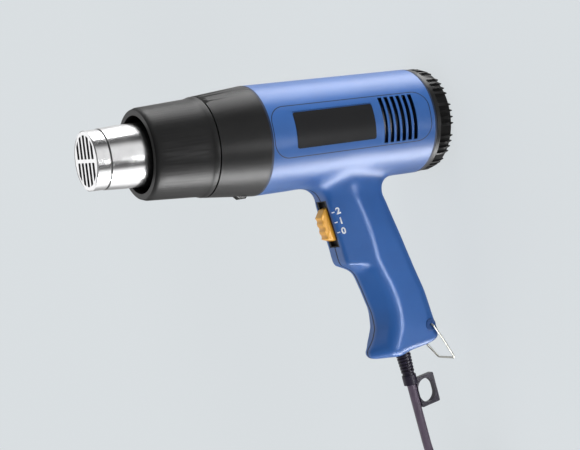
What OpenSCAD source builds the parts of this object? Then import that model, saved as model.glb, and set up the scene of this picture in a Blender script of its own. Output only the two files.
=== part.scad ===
// Hot air tool with a pistol grip, standing on its rear cap with the nozzle up.
// +Z is the air's direction, the handle points to -X, and the origin is the middle of the rear
// rest face.

/* [Barrel housing] */
// Outside diameter of the barrel
barrel_d = 70.4; // [68:0.2:73]
// Length of the two-part housing along the barrel
housing_l = 126; // [122:1:132]
// Wall of the plastic mouldings
wall = 2.4; // [2:0.1:2.6]
// Vent slots on each side of the barrel
vent_count = 6; // [4:1:7]
// Width of one vent slot
vent_w = 2.6; // [2:0.1:3]
// Distance from one vent slot to the next
vent_pitch = 4.7; // [4:0.1:5]
// Angle that a vent slot covers round the barrel
vent_angle = 50; // [40:1:54]
// Length of the bare label plate
label_l = 59; // [50:1:62]
// Height of the bare label plate, measured straight across
label_h = 22.8; // [18:0.2:24]

/* [Rear cap] */
// Length of the rear cap
cap_l = 15; // [13:0.5:17]
// Groups of fins round the cap
fin_groups = 10; // [6:1:10]
// Fins in one group
fins_per_group = 4; // [2:1:4]
// Width of one fin
fin_w = 1.5; // [1.2:0.1:1.8]
// How far the fins stand past the cap's rear edge
fin_overhang = 1.7; // [1:0.1:2.6]
// Air inlet slots in the cap's rear face
inlet_count = 18; // [12:1:20]
// Width of one air inlet slot
inlet_w = 2.6; // [2:0.1:3]

/* [Front cone and heat guard] */
// Length of the cone in front of the housing
cone_l = 34; // [30:0.5:38]
// Diameter of the cone at its front edge
cone_front_d = 63.6; // [61:0.2:65]
// Length of the heat guard in front of the cone
guard_l = 40.8; // [36:0.2:44]
// Diameter of the heat guard at its mouth
guard_mouth_d = 55.2; // [54:0.2:58]
// Bore of the heat guard at its mouth
guard_bore_d = 48; // [46:0.2:50]

/* [Nozzle] */
// Diameter of the steel tube inside the heat guard
tube_d = 39; // [38:0.1:40]
// Diameter of the seat for slip-on nozzles at the tip
seat_d = 36.4; // [35:0.1:37]
// Length of the seat for slip-on nozzles
seat_l = 8.6; // [7:0.2:11]
// Length of tube that shows in front of the heat guard
tube_show_l = 33.2; // [30:0.2:40]
// Sheet thickness of the steel tube
tube_wall = 0.8; // [0.6:0.1:1]
// Slots in one row of the outlet grille
grille_slots = 5; // [3:1:5]
// Width of one grille slot
grille_slot_w = 3.4; // [2.6:0.1:3.6]
// Distance from one grille slot to the next
grille_pitch = 5.6; // [5:0.1:6]
// Turn of the outlet grille from the handle's plane
grille_turn = -4.5; // [-10:0.5:10]

/* [Handle] */
// From the barrel's axis to the bottom of the handle
handle_reach = 154.4; // [148:0.2:160]
// Width of the handle at its ridges
grip_w = 33; // [31:0.5:35]

/* [Switch] */
// Length of the switch frame along the handle
frame_l = 31.8; // [31.4:0.2:34]
// Width of the switch frame
frame_w = 12.4; // [11.6:0.2:13]
// Length of the slider's thumb piece
slider_l = 22; // [20:0.2:22]
// Width of the slider's thumb piece
slider_w = 7.8; // [7:0.2:8.4]
// How far the slider stands out of the handle
slider_proud = 5.6; // [4:0.2:6.4]
// Travel from the middle position to either end
slider_travel = 4.2; // [3:0.1:4.2]

/* [Hanging wire] */
// Diameter of the hanging wire
wire_d = 1.4; // [1.2:0.1:2]
// Length of the hanging wire from its pivot
bail_l = 32; // [27:0.5:33]
// Width of the hanging wire at its end bar
bail_end_w = 19; // [15:0.5:22]
// Outside diameter of the bushes that hold the wire
bush_d = 8; // [7:0.2:9]

/* [Strain relief and hanging loop] */
// Ribs on the strain relief
relief_ribs = 6; // [4:1:6]
// Length of the strain relief outside the handle, with its collar
relief_l = 22; // [21:0.5:24]
// Diameter of the strain relief at the handle
relief_d = 10; // [9.4:0.2:11]
// Length of the hanging loop
loop_l = 20.5; // [19:0.5:24]
// Width of the hanging loop
loop_w = 15.2; // [14.8:0.2:17]
// Thickness of the hanging loop
loop_t = 4; // [3:0.2:5]

/* [Cord and plug] */
// Diameter of the power cord
cord_d = 6; // [5.6:0.1:6.2]
// Radius of the outermost turn of the stored coil
coil_r = 37; // [36:0.5:38]
// Turns in one layer of the stored coil
coil_turns = 1.5; // [1.5:1:2.5]
// Layers of the stored coil
coil_layers = 4; // [2:2:4]
// Length of the plug's body
plug_l = 30; // [28:1:34]
// Width of the plug's body
plug_w = 24; // [22:0.5:26]
// Thickness of the plug's body
plug_t = 16; // [14:0.5:18]

/* [Hidden] */
$fn = 64;

// Clearances, and the overrun of every cut
gap = 0.15;
run_gap = 0.05;
seat_gap = 0.3;
cut = 1;

// Stations along the barrel, upwards from the rear rest face
barrel_r = barrel_d / 2;
bore_r = barrel_r - wall;
housing_top = cap_l + housing_l;
cone_top = housing_top + cone_l;
mouth_z = cone_top + guard_l;
tip_z = mouth_z + tube_show_l;
spigot_l = 5;
edge_round = 0.7;
groove_w = 0.9;
groove_depth = 1.1;

// Vents and label on the barrel's sides, lifted from the middle towards +X
panel_lift = 1.6;
vent_last_z = 32.2;
label_low_z = 63.6;
label_corner = 1.6;
label_t = 0.5;
label_sunk = 0.3;

// Housing screws: places as shares of the lengths that they follow
screw_r = 1.5;
screw_head_r = 2.8;
screw_head_t = 2;
boss_r = 4.1;
head_depth = 7;
screw_l = 15;
barrel_screw_shares = [[0.83, 0.245], [0.83, 0.905]];
handle_screw_shares = [[0.04, -0.3], [0.54, -0.3], [0.92, 0.08]];
boss_reach_share = 0.8;

// Rear cap
cap_band_l = 3.6;
fin_root_share = 0.955;
fin_tip_share = 0.94;
fin_rise = 1.2;
fin_slope_l = 4;
fin_tip_w = 0.4;
fin_turn = 3.2;
cap_end_share = 0.935;
back_t = 2.2;
hub_r = 9;
inlet_low_share = 0.36;
inlet_high_share = 0.83;

// Front cone and heat guard
nub_l = 8;
nub_w = 5;
nub_rise = 1.3;
nub_low_share = 0.16;
guard_collar_l = 1.4;
guard_chamfer_l = 3.2;
guard_neck_drop = 1.2;
lip_t = 3;
lip_round = 0.9;

// Steel tube, its flange and the grille
tube_r = tube_d / 2;
seat_r = seat_d / 2;
tube_neck_share = 0.36;
tube_neck_drop = 0.2;
tube_end_drop = 0.9;
seat_groove_w = 0.9;
seat_groove_depth = 0.5;
lip_edge = 0.6;
flange_r = 27;
flange_gap = 0.8;
flange_z = housing_top - flange_gap;
tube_screw_ring_r = 23.5;
tube_screw_count = 3;
tube_screw_turn = 30;
tube_screw_r = 1.3;
tube_screw_head_r = 2.4;
tube_screw_head_t = 1.6;
tube_screw_l = 9;
grille_t = 1.2;
grille_inset = 0.2;
grille_bar = 2.2;
grille_rim = 1.9;

// Heater inside the tube
base_plate_r = 29;
base_plate_bore_r = 12.5;
base_plate_t = 1.6;
collar_rim_t = 1.1;
collar_rim_l = 1.8;
sleeve_t = 0.6;
sleeve_end_gap = 3;
core_t = 1;
core_edge_r = 12.9;
core_end_gap = 8;
spacer_t = 1.2;
coil_wire_r = 0.8;
heater_turns = 12;
heater_r = 14.05;
heater_rings = 16;
heater_start_l = 4;
cutout_size = [7, 4, 9];

// Air duct, motor and impeller
duct_low_z = 60;
duct_wide_l = 33;
duct_taper_l = 17;
duct_t = 2;
duct_neck_r = 22;
duct_flange_t = 2.4;
spider_l = 6;
spider_w = 5;
spider_ring_t = 2.2;
spider_arms = 3;
motor_r = 18;
motor_l = 40;
motor_t = 1.2;
magnet_t = 3;
magnet_angle = 140;
bearing_r = 4;
core_gap = 0.6;
core_slot_share = 0.62;
core_slot_w = 1.6;
shaft_r = 1.6;
bell_l = 6;
bell_inset = 0.4;
post_r = 1.2;
post_l = 3.4;
post_ring_r = 11;
post_turn = 60;
slot_count = 12;
board_t = 1.6;
board_r = 16;
diode_r = 2.4;
diode_l = 5;
impeller_l = 13;
impeller_gap = 0.8;
impeller_rise = 4;
impeller_hub_r = 9;
blade_count = 9;
blade_t = 1.4;
blade_tilt = 35;
blade_low_share = 0.12;

// Switch, on a line along the front of the handle
slot_share = 0.215;
tray_wall = 0.6;
tray_depth = 1.9;
tray_floor_t = 1.2;
frame_inset = 0.3;
stem_l = 6;
stem_w = 3;
foot_l = 8;
foot_w = 5;
foot_t = 1.2;
body_l = 29;
body_w = 13;
body_t = 11;
terminal_w = 4;
terminal_t = 0.8;
terminal_l = 6;
grip_r = 2.6;
grip_depth = 0.7;
slider_line_shares = [[1, 0], [0.97, 0.2], [0.56, 1], [-0.76, 1], [-1, 0.2], [-1, 0]];

// Hanging wire and its bushes, near the handle's rear bottom corner
pivot_share = 0.862;
pivot_back_share = 0.071;
bush_face_share = 0.412;
bush_l = 7;
bush_rim = 0.4;
bail_end_l = 3.5;
bail_side_gap = 0.3;
bail_bend_share = 1;
bail_corner_share = 1.3;
bail_drop = 35;
bail_bow = 0.3;
bail_steps = 10;
bail_corner_steps = 4;
bail_sides = 8;

// Strain relief, with its own axis from the handle's bottom
exit_share = 0.323;
exit_tilt = 7.6;
relief_end_d = 8.8;
rib_pitch = 2.2;
rib_w = 1.2;
rib_depth = 0.8;
rib_start = 1.2;
relief_flange_r = 6.6;
relief_flange_t = 2;
relief_inner_l = 5.2;
collar_l = 6.4;
collar_r = 4.8;
loop_start_share = 0.88;
loop_corner = 1;
loop_hole_r = 6.6;
loop_hole_straight = 3.2;
loop_edge = 1.7;
lead_inner_l = 36;
clamp_back = 26;
clamp_l = 18;
clamp_w = 6;
clamp_t = 2.4;
clamp_screw_r = 1.2;
clamp_screw_head_r = 2.2;
clamp_screw_head_t = 1.5;
clamp_screw_l = 8;
clamp_post_r = 2.6;
clamp_post_share = 0.81;
lead_r = 1.1;
lead_split = 1.4;
lead_sides = 6;
lead_steps = 3;
lead_straight = 2.5;

// Cord from the strain relief down to the floor, from the relief's mouth: x, y, and the height as a
// share of the mouth's height above a cord that lies on the floor
cord_r = cord_d / 2;
cord_sides = 10;
cord_steps = 3;
cord_route_shares = [
  [-12, 0, 0.9596], [-24, 0, 0.9192], [-34, 0, 0.884], [-43, 0, 0.853], [-49.5, 0.3, 0.812],
  [-55, 1.2, 0.744], [-60, 2.7, 0.645], [-64, 4.1, 0.53], [-69.5, 6.3, 0.325], [-73.5, 8.2, 0.205],
  [-78.5, 10.4, 0.111], [-84, 13, 0.047], [-90, 15.4, 0.013], [-96, 17.4, 0], [-103, 19.2, 0],
  [-109, 20, 0], [-113.5, 20, 0]
];

// Stored coil: its middle from the relief's mouth, its pitch both ways, and the straight lead-in
coil_from_mouth = -125;
coil_side = 20;
coil_pitch = 6.6;
coil_sides = 6;
coil_rings = 24;
coil_turn_back = 0.5;
coil_lead_in = 7;
// End of the cord from the coil's top up to the plug: x and y as shares of the coil's radius, and
// the height as a share of the step from the top layer up to the plug's middle
tail_shares = [
  [0.132, -1.001, 0.004], [0.264, -0.987, 0.02], [0.403, -0.95, 0.05], [0.536, -0.892, 0.092],
  [0.671, -0.799, 0.145], [0.793, -0.665, 0.205], [0.896, -0.497, 0.27], [0.958, -0.33, 0.335],
  [0.993, -0.157, 0.4], [1, 0, 0.46], [0.978, 0.168, 0.565], [0.914, 0.324, 0.67],
  [0.811, 0.459, 0.774], [0.676, 0.562, 0.86], [0.519, 0.627, 0.94], [0.351, 0.649, 1],
  [0.24, 0.649, 1], [0.135, 0.649, 1]
];

// Plug on top of the coil
plug_neck_l = 7;
plug_neck_r = 4.6;
plug_neck_end_r = 6.6;
plug_corner = 4;
blade_l = 17.5;
blade_h = 6.4;
blade_plate_t = 1.5;
blade_space = 12.7;
blade_root_l = 8;

// Routes of the inner leads between their ends
live_shares = [
  [0.675, -1.6, 0.3605], [0.65, -2.4, 0.376], [0.6, -3, 0.404], [0.51, -3, 0.425], [0.39, -2, 0.44],
  [0.3, -1, 0.45]
];
neutral_shares = [
  [0.675, 1.6, 0.3605], [0.65, 2.4, 0.37], [0.6, 3, 0.397], [0.545, 3, 0.415], [0.46, 3, 0.426],
  [0.33, 3.4, 0.436], [0.21, 3.8, 0.446], [0.13, 3.8, 0.468], [0.07, 3.4, 0.51], [0.03, 3, 0.566], [0.012, 3, 0.62],
  [-0.01, 3, 0.66], [-0.03, 3, 0.7], [-0.045, 2.8, 0.745], [-0.057, 2.4, 0.82], [-0.06, 1.6, 0.9]
];
heater_shares = [
  [0.178, -2.6, 0.452], [0.13, -3.4, 0.468], [0.07, -3.4, 0.51], [0.03, -3, 0.566], [0.012, -3, 0.62],
  [-0.01, -3, 0.66], [-0.03, -3, 0.7], [-0.045, -2.8, 0.745], [-0.057, -2.4, 0.82], [-0.06, -1.6, 0.9]
];
motor_shares = [
  [0.112, -1, 0.45], [0.09, -2.4, 0.4], [0.02, -3, 0.366], [-0.05, -3, 0.32], [-0.075, -3, 0.24],
  [-0.082, -2.6, 0.175], [-0.098, -2.2, 0.137], [-0.13, -1.8, 0.127]
];

// Colours
blue = [0.20, 0.36, 0.68];
black = [0.11, 0.11, 0.11];
steel = [0.78, 0.78, 0.80];
orange = [0.96, 0.58, 0.16];

// Half outline of the handle: the side edges of its two ridges, nose and back are circles, and the
// outline goes tight round them. Each row has its share of the way down the handle, then the front,
// ridge and back as shares of the housing's top, then the flat of the nose, the nose radius, the
// ridge's half width, the ridge radius and the back radius as shares of the grip's width.
handle_row_shares = [
  [-0.077, 0.738, 0.539, 0.270, 0.212, 0.085, 0.685, 0.300, 0.394],
  [-0.052, 0.738, 0.539, 0.270, 0.212, 0.085, 0.625, 0.280, 0.394],
  [-0.035, 0.738, 0.539, 0.270, 0.212, 0.085, 0.585, 0.270, 0.394],
  [-0.010, 0.738, 0.537, 0.270, 0.212, 0.085, 0.540, 0.260, 0.394],
  [0.002, 0.713, 0.535, 0.284, 0.212, 0.085, 0.522, 0.250, 0.394],
  [0.015, 0.689, 0.532, 0.304, 0.212, 0.085, 0.510, 0.245, 0.394],
  [0.036, 0.668, 0.528, 0.318, 0.212, 0.085, 0.502, 0.242, 0.394],
  [0.079, 0.652, 0.521, 0.324, 0.212, 0.085, 0.500, 0.242, 0.394],
  [0.141, 0.643, 0.504, 0.309, 0.212, 0.085, 0.500, 0.242, 0.394],
  [0.242, 0.628, 0.479, 0.282, 0.212, 0.085, 0.500, 0.242, 0.394],
  [0.351, 0.611, 0.461, 0.252, 0.212, 0.085, 0.500, 0.242, 0.394],
  [0.422, 0.602, 0.454, 0.234, 0.212, 0.085, 0.500, 0.236, 0.394],
  [0.448, 0.593, 0.450, 0.227, 0.200, 0.085, 0.500, 0.230, 0.394],
  [0.465, 0.571, 0.446, 0.223, 0.136, 0.100, 0.500, 0.226, 0.394],
  [0.481, 0.550, 0.441, 0.218, 0.076, 0.120, 0.500, 0.220, 0.394],
  [0.510, 0.529, 0.433, 0.211, 0.030, 0.136, 0.500, 0.212, 0.394],
  [0.582, 0.506, 0.408, 0.191, 0.030, 0.136, 0.500, 0.212, 0.394],
  [0.669, 0.484, 0.385, 0.167, 0.030, 0.136, 0.500, 0.212, 0.394],
  [0.762, 0.463, 0.374, 0.150, 0.030, 0.136, 0.500, 0.212, 0.394],
  [0.820, 0.460, 0.376, 0.140, 0.030, 0.136, 0.500, 0.212, 0.394],
  [0.871, 0.473, 0.390, 0.130, 0.030, 0.136, 0.500, 0.212, 0.394],
  [0.913, 0.495, 0.406, 0.123, 0.030, 0.136, 0.500, 0.212, 0.394],
  [0.940, 0.514, 0.416, 0.128, 0.030, 0.136, 0.497, 0.206, 0.385],
  [0.955, 0.520, 0.418, 0.144, 0.030, 0.134, 0.490, 0.202, 0.372],
  [0.966, 0.521, 0.418, 0.172, 0.030, 0.131, 0.482, 0.198, 0.360],
  [0.975, 0.519, 0.417, 0.222, 0.030, 0.128, 0.472, 0.192, 0.350],
  [0.982, 0.515, 0.414, 0.270, 0.030, 0.124, 0.460, 0.186, 0.335],
  [0.991, 0.507, 0.409, 0.305, 0.030, 0.116, 0.435, 0.174, 0.310],
  [1.000, 0.479, 0.397, 0.335, 0.020, 0.100, 0.370, 0.150, 0.270]
];
arc_steps = 12;

function handle_x(share, reach) = -(barrel_r + (reach - barrel_r) * share);
function share_at(x) = (-x - barrel_r) / (handle_reach - barrel_r);
function column(n) = [for (row = handle_row_shares) [row[0], row[n]]];
function front_z(share) = housing_top * lookup(share, column(1));
function ridge_z(share) = housing_top * lookup(share, column(2));
function back_z(share) = housing_top * lookup(share, column(3));
function half_width(share) = grip_w * lookup(share, column(6));

// Circles [z, y, radius] that one row's outline goes round
function row_circles(row) = [
  [housing_top * row[1] - grip_w * row[5], grip_w * row[4], grip_w * row[5]],
  [housing_top * row[2], grip_w * (row[6] - row[7]), grip_w * row[7]],
  [housing_top * row[3] + grip_w * row[8], 0, grip_w * row[8]]
];
function reach_of(c, angle) = c[0] * cos(angle) + c[1] * sin(angle) + c[2];
function furthest(list, angle) =
  let (reaches = [for (c = list) reach_of(c, angle)], most = max(reaches))
  [for (i = [0 : len(list) - 1]) if (reaches[i] == most) list[i]][0];

// One row's half outline as [z, y] from the nose's middle to the back's middle, drawn in by inset
function row_outline(row, inset) =
  let (list = row_circles(row))
  concat(
    [[housing_top * row[1] - inset, 0]],
    [for (i = [0 : arc_steps])
      let (angle = 180 * i / arc_steps, c = furthest(list, angle), r = c[2] - inset)
      [c[0] + r * cos(angle), c[1] + r * sin(angle)]]
  );

// Closed solid through rows of equally many points, its ends filled with fans
function row_faces(rows, n) = concat(
  [for (i = [0 : rows - 2], j = [0 : n - 1])
    [i * n + j, i * n + (j + 1) % n, (i + 1) * n + j]],
  [for (i = [0 : rows - 2], j = [0 : n - 1])
    [i * n + (j + 1) % n, (i + 1) * n + (j + 1) % n, (i + 1) * n + j]],
  [for (j = [1 : n - 2]) [0, j + 1, j]],
  [for (j = [1 : n - 2]) let (last = (rows - 1) * n) [last, last + j, last + j + 1]]
);

// Tube of radius r along points, its rings square to the path and level with the up direction
function unit(v) = v / norm(v);
function tangent(p, i) = unit(p[min(i + 1, len(p) - 1)] - p[max(i - 1, 0)]);
function tube_ring(p, i, r, sides, up) =
  let (t = tangent(p, i), side = unit(cross(t, up)), over = cross(side, t))
  [for (k = [0 : sides - 1])
    let (angle = 360 * (k + 0.5) / sides)
    p[i] + r * (side * cos(angle) + over * sin(angle))];
module swept_tube(p, r, sides, up) {
  points = [for (i = [0 : len(p) - 1]) each tube_ring(p, i, r, sides, up)];
  polyhedron(points, row_faces(len(p), sides));
}

// Least gap between the surfaces of a tube of radius r and its own other turns: every ring's middle
// against all that lie further on than skip rings
function turn_gap(p, r, skip) = min([for (i = [0 : len(p) - skip - 1], j = [i + skip : len(p) - 1])
  norm(p[i] - p[j])]) - 2 * r;

// Smooth curve through hand-placed points, with steps rings between two of them
function spline(p, i, t) =
  let (
    a = p[max(i - 1, 0)], b = p[i], c = p[i + 1], d = p[min(i + 2, len(p) - 1)],
    bend = 2 * a - 5 * b + 4 * c - d, twist = 3 * b - a - 3 * c + d
  )
  (2 * b + (c - a) * t + bend * t * t + twist * t * t * t) / 2;
function smooth_path(p, steps) = concat(
  [for (i = [0 : len(p) - 2], k = [0 : steps - 1]) spline(p, i, k / steps)],
  [p[len(p) - 1]]
);

// Ring between two radii and two heights
module ring(r_in, r_out, low, high) {
  translate([0, 0, low]) difference() {
    cylinder(r = r_out, h = high - low);
    translate([0, 0, -cut]) cylinder(r = r_in, h = high - low + 2 * cut);
  }
}

// Rectangle with round corners, centred, drawn in the XY plane
module round_rect(w, h, r) {
  square([w - 2 * r, h], center = true);
  square([w, h - 2 * r], center = true);
  for (x = [-1, 1], y = [-1, 1]) translate([x * (w / 2 - r), y * (h / 2 - r)]) circle(r = r);
}

// Places that several pieces share
slot_x = handle_x(slot_share, handle_reach);
slot_low_share = slot_share + frame_l / 2 / (handle_reach - barrel_r);
slot_high_share = slot_share - frame_l / 2 / (handle_reach - barrel_r);
slot_lean = atan2(front_z(slot_high_share) - front_z(slot_low_share), frame_l);
exit_z = housing_top * exit_share;
pivot_x = handle_x(pivot_share, handle_reach);
pivot_z = back_z(pivot_share) + housing_top * pivot_back_share;
bush_face_y = grip_w * bush_face_share;

// Local X runs up the handle and Z out of its front
module at_switch() {
  translate([slot_x, 0, front_z(slot_share)]) rotate([0, -slot_lean, 0]) children();
}

// Local Z runs out of the handle's bottom along the cord
module at_exit() {
  translate([-handle_reach, 0, exit_z]) rotate([0, -90 - exit_tilt, 0]) children();
}

// Screw along Y at x and z, with its head on the +Y side
function screw_places() = concat(
  [for (s = barrel_screw_shares) [bore_r * s[0], housing_top * s[1]]],
  [for (s = handle_screw_shares)
    [handle_x(s[0], handle_reach), ridge_z(s[0]) + grip_w * s[1]]]
);
module at_screws() {
  for (p = screw_places()) translate([p[0], 0, p[1]]) rotate([90, 0, 0]) children();
}

// Half of the handle on the -Y side, its outline drawn in by inset
module handle_half(inset) {
  reach = handle_reach - inset;
  points = [for (row = handle_row_shares, p = row_outline(row, inset))
    [handle_x(row[0], reach), -p[1], p[0]]];
  polyhedron(points, row_faces(len(handle_row_shares), arc_steps + 2));
}

module barrel_half() {
  rotate([0, 0, 180]) rotate_extrude(angle = 180) polygon([
    [bore_r, cap_l], [barrel_r - edge_round, cap_l], [barrel_r, cap_l + 2 * edge_round],
    [barrel_r, housing_top], [bore_r, housing_top]
  ]);
}

// Vent slots and the label's seat on the -Y side
module side_cuts(with_label) {
  for (i = [0 : vent_count - 1])
    rotate([0, 0, panel_lift - 90 - vent_angle / 2])
      rotate_extrude(angle = vent_angle)
        translate([bore_r - cut, vent_last_z + i * vent_pitch - vent_w / 2])
          square([wall + 2 * cut, vent_w]);
  if (with_label) label_blank(gap);
}

// Label plate, grown by extra at its edges
module label_blank(extra) {
  intersection() {
    ring(
      barrel_r - label_sunk, barrel_r - label_sunk + label_t,
      label_low_z - cut, label_low_z + label_l + cut
    );
    rotate([0, 0, panel_lift])
      translate([0, 0, label_low_z + label_l / 2]) rotate([90, 0, 0])
        linear_extrude(height = barrel_r + cut)
          round_rect(label_h + 2 * extra, label_l + 2 * extra, label_corner);
  }
}

module frame_hole() {
  at_switch()
    translate([-frame_l / 2, -frame_w / 2, -tray_depth - tray_floor_t - body_t])
      cube([frame_l, frame_w, tray_depth + tray_floor_t + body_t + cut]);
}

// One half of the housing on the -Y side, without what its bosses need
module housing_half(with_label) {
  difference() {
    union() {
      barrel_half();
      handle_half(0);
    }
    ring(0, bore_r, -cut, tip_z);
    handle_half(wall);
    side_cuts(with_label);
    frame_hole();
    at_exit() translate([0, 0, -relief_inner_l - cut])
      cylinder(r = relief_d / 2 + gap, h = relief_inner_l + 2 * cut);
    translate([pivot_x, 0, pivot_z]) rotate([90, 0, 0])
      cylinder(r = bush_d / 2 + gap, h = grip_w);
  }
}

module screw_bosses() {
  intersection() {
    ring(0, bore_r + wall / 2, 0, housing_top);
    for (i = [0 : len(barrel_screw_shares) - 1])
      let (p = screw_places()[i])
        translate([p[0], 0, p[1]]) rotate([90, 0, 0]) cylinder(r = boss_r, h = bore_r);
  }
  for (i = [0 : len(handle_screw_shares) - 1])
    let (p = screw_places()[len(barrel_screw_shares) + i])
      translate([p[0], 0, p[1]]) rotate([90, 0, 0])
        cylinder(r = boss_r, h = boss_reach_share * grip_w / 2);
}

// Left half, with blind screw bosses and the posts of the cord clamp
module left_housing() {
  color(blue) difference() {
    union() {
      housing_half(true);
      screw_bosses();
      clamp_posts();
    }
    at_screws() translate([0, 0, -cut]) cylinder(r = screw_r + run_gap, h = screw_l - head_depth + cut);
    at_clamp() clamp_holes();
  }
}

// Right half, with the screws' through holes and head recesses
module right_housing() {
  color(blue) difference() {
    mirror([0, 1, 0]) {
      housing_half(false);
      screw_bosses();
    }
    at_screws() translate([0, 0, -barrel_r]) {
      cylinder(r = screw_r + run_gap, h = barrel_r + cut);
      cylinder(r = screw_head_r + gap, h = barrel_r - head_depth + screw_head_t);
    }
  }
}

module label_plate() {
  color(black) label_blank(0);
}

module rear_cap() {
  root_r = barrel_r * fin_root_share;
  end_r = barrel_r * cap_end_share;
  band_z = cap_l - cap_band_l;
  spigot_r = bore_r - gap;
  color(black) difference() {
    union() {
      rotate_extrude() polygon([
        [0, fin_overhang], [end_r, fin_overhang], [root_r, fin_overhang + edge_round], [root_r, band_z],
        [barrel_r - edge_round / 2, band_z], [barrel_r - edge_round / 2, cap_l - edge_round],
        [barrel_r - edge_round, cap_l],
        [spigot_r, cap_l], [spigot_r, cap_l + spigot_l], [spigot_r - wall, cap_l + spigot_l],
        [spigot_r - wall, fin_overhang + back_t], [0, fin_overhang + back_t]
      ]);
      cylinder(r = hub_r, h = fin_overhang + back_t);
      cap_fins(root_r, band_z);
    }
    for (i = [0 : inlet_count - 1]) rotate([0, 0, 360 * i / inlet_count])
      translate([barrel_r * inlet_low_share, -inlet_w / 2, -cut])
        cube([
          barrel_r * (inlet_high_share - inlet_low_share), inlet_w,
          fin_overhang + back_t + 2 * cut
        ]);
  }
}

// Groups of pointed fins with one fin's place left free between groups
module cap_fins(root_r, band_z) {
  places = fins_per_group + 1;
  for (g = [0 : fin_groups - 1], i = [0 : fins_per_group - 1])
    rotate([0, 0, fin_turn + 360 / fin_groups * (g + (i + 0.5) / places)])
      cap_fin(root_r - wall / 2, root_r + fin_rise, band_z + edge_round);
}

// One fin along +X: its outline from outside and its outline from the side, crossed
module cap_fin(inner_r, outer_r, top) {
  wide_z = fin_overhang + edge_round / 2;
  intersection() {
    rotate([90, 0, 90]) linear_extrude(height = barrel_r) polygon([
      [-fin_w / 2, top], [-fin_w / 2, wide_z], [-fin_tip_w / 2, 0],
      [fin_tip_w / 2, 0], [fin_w / 2, wide_z], [fin_w / 2, top]
    ]);
    translate([0, fin_w, 0]) rotate([90, 0, 0]) linear_extrude(height = 2 * fin_w) polygon([
      [inner_r, 0], [barrel_r * fin_tip_share, 0], [outer_r, fin_overhang + fin_slope_l],
      [outer_r, top], [inner_r, top]
    ]);
  }
}

module front_cone() {
  front_r = cone_front_d / 2;
  spigot_r = bore_r - gap;
  color(black) union() {
    rotate_extrude() polygon([
      [spigot_r - wall, housing_top - spigot_l], [spigot_r, housing_top - spigot_l],
      [spigot_r, housing_top], [barrel_r, housing_top], [front_r, cone_top - groove_w],
      [front_r - groove_depth, cone_top - groove_w], [front_r - groove_depth, cone_top],
      [front_r - wall, cone_top], [front_r - wall, cone_top - wall]
    ]);
    translate([0, nub_w / 2, 0]) rotate([90, 0, 0]) linear_extrude(height = nub_w) nub_side();
  }
}

// Latch nub on the cone's underside, seen from its side
module nub_side() {
  low = housing_top + cone_l * nub_low_share;
  r = barrel_r - (barrel_r - cone_front_d / 2) * nub_low_share;
  polygon([
    [-r + wall / 2, low], [-r, low], [-r - nub_rise, low + nub_rise],
    [-r - nub_rise, low + nub_l - 2 * nub_rise], [-r + wall / 2, low + nub_l]
  ]);
}

module heat_guard() {
  front_r = cone_front_d / 2;
  neck_r = front_r - guard_neck_drop;
  mouth_r = guard_mouth_d / 2;
  spigot_r = front_r - wall - gap;
  color(black) rotate_extrude() polygon([
    [spigot_r - wall, cone_top - spigot_l], [spigot_r, cone_top - spigot_l], [spigot_r, cone_top],
    [front_r - groove_w / 4, cone_top], [front_r - groove_w / 4, cone_top + guard_collar_l],
    [neck_r, cone_top + guard_collar_l + guard_chamfer_l], [mouth_r + lip_round, mouth_z - lip_t],
    [mouth_r, mouth_z - lip_round / 2], [mouth_r - lip_round / 2, mouth_z],
    [guard_bore_d / 2, mouth_z], [guard_bore_d / 2, mouth_z - lip_t],
    [mouth_r - wall, mouth_z - lip_t - wall], [neck_r - wall, cone_top + guard_chamfer_l],
    [spigot_r - wall, cone_top]
  ]);
}

module nozzle_tube() {
  neck_z = mouth_z + tube_show_l * tube_neck_share;
  groove_low = tip_z - seat_l - seat_groove_w;
  groove_high = tip_z - seat_l;
  outer = [
    [flange_r, flange_z], [flange_r, flange_z + tube_wall], [tube_r + tube_wall, flange_z + tube_wall],
    [tube_r, flange_z + 2 * tube_wall], [tube_r, mouth_z], [tube_r - tube_neck_drop, neck_z],
    [tube_r - tube_end_drop, groove_low], [seat_r - seat_groove_depth, groove_low],
    [seat_r - seat_groove_depth, groove_high], [seat_r, groove_high], [seat_r, tip_z - lip_edge],
    [seat_r - lip_edge, tip_z]
  ];
  bore = [
    [seat_r - tube_wall, tip_z], [seat_r - tube_wall, groove_high],
    [seat_r - tube_wall - seat_groove_depth, groove_high],
    [seat_r - tube_wall - seat_groove_depth, groove_low],
    [tube_r - tube_end_drop - tube_wall, groove_low - tube_wall],
    [tube_r - tube_neck_drop - tube_wall, neck_z], [tube_r - tube_wall, mouth_z],
    [tube_r - tube_wall, flange_z]
  ];
  color(steel) difference() {
    rotate_extrude() polygon(concat(outer, bore));
    at_tube_screws() translate([0, 0, flange_z - cut])
      cylinder(r = tube_screw_r + gap, h = tube_wall + 2 * cut);
  }
}

module at_tube_screws() {
  for (i = [0 : tube_screw_count - 1])
    rotate([0, 0, tube_screw_turn + 360 * i / tube_screw_count])
      translate([tube_screw_ring_r, 0, 0]) children();
}

module tube_screws() {
  color(steel) at_tube_screws() union() {
    translate([0, 0, flange_z + tube_wall]) cylinder(r = tube_screw_head_r, h = tube_screw_head_t);
    translate([0, 0, flange_z + tube_wall - tube_screw_l]) cylinder(r = tube_screw_r, h = tube_screw_l);
  }
}

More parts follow.
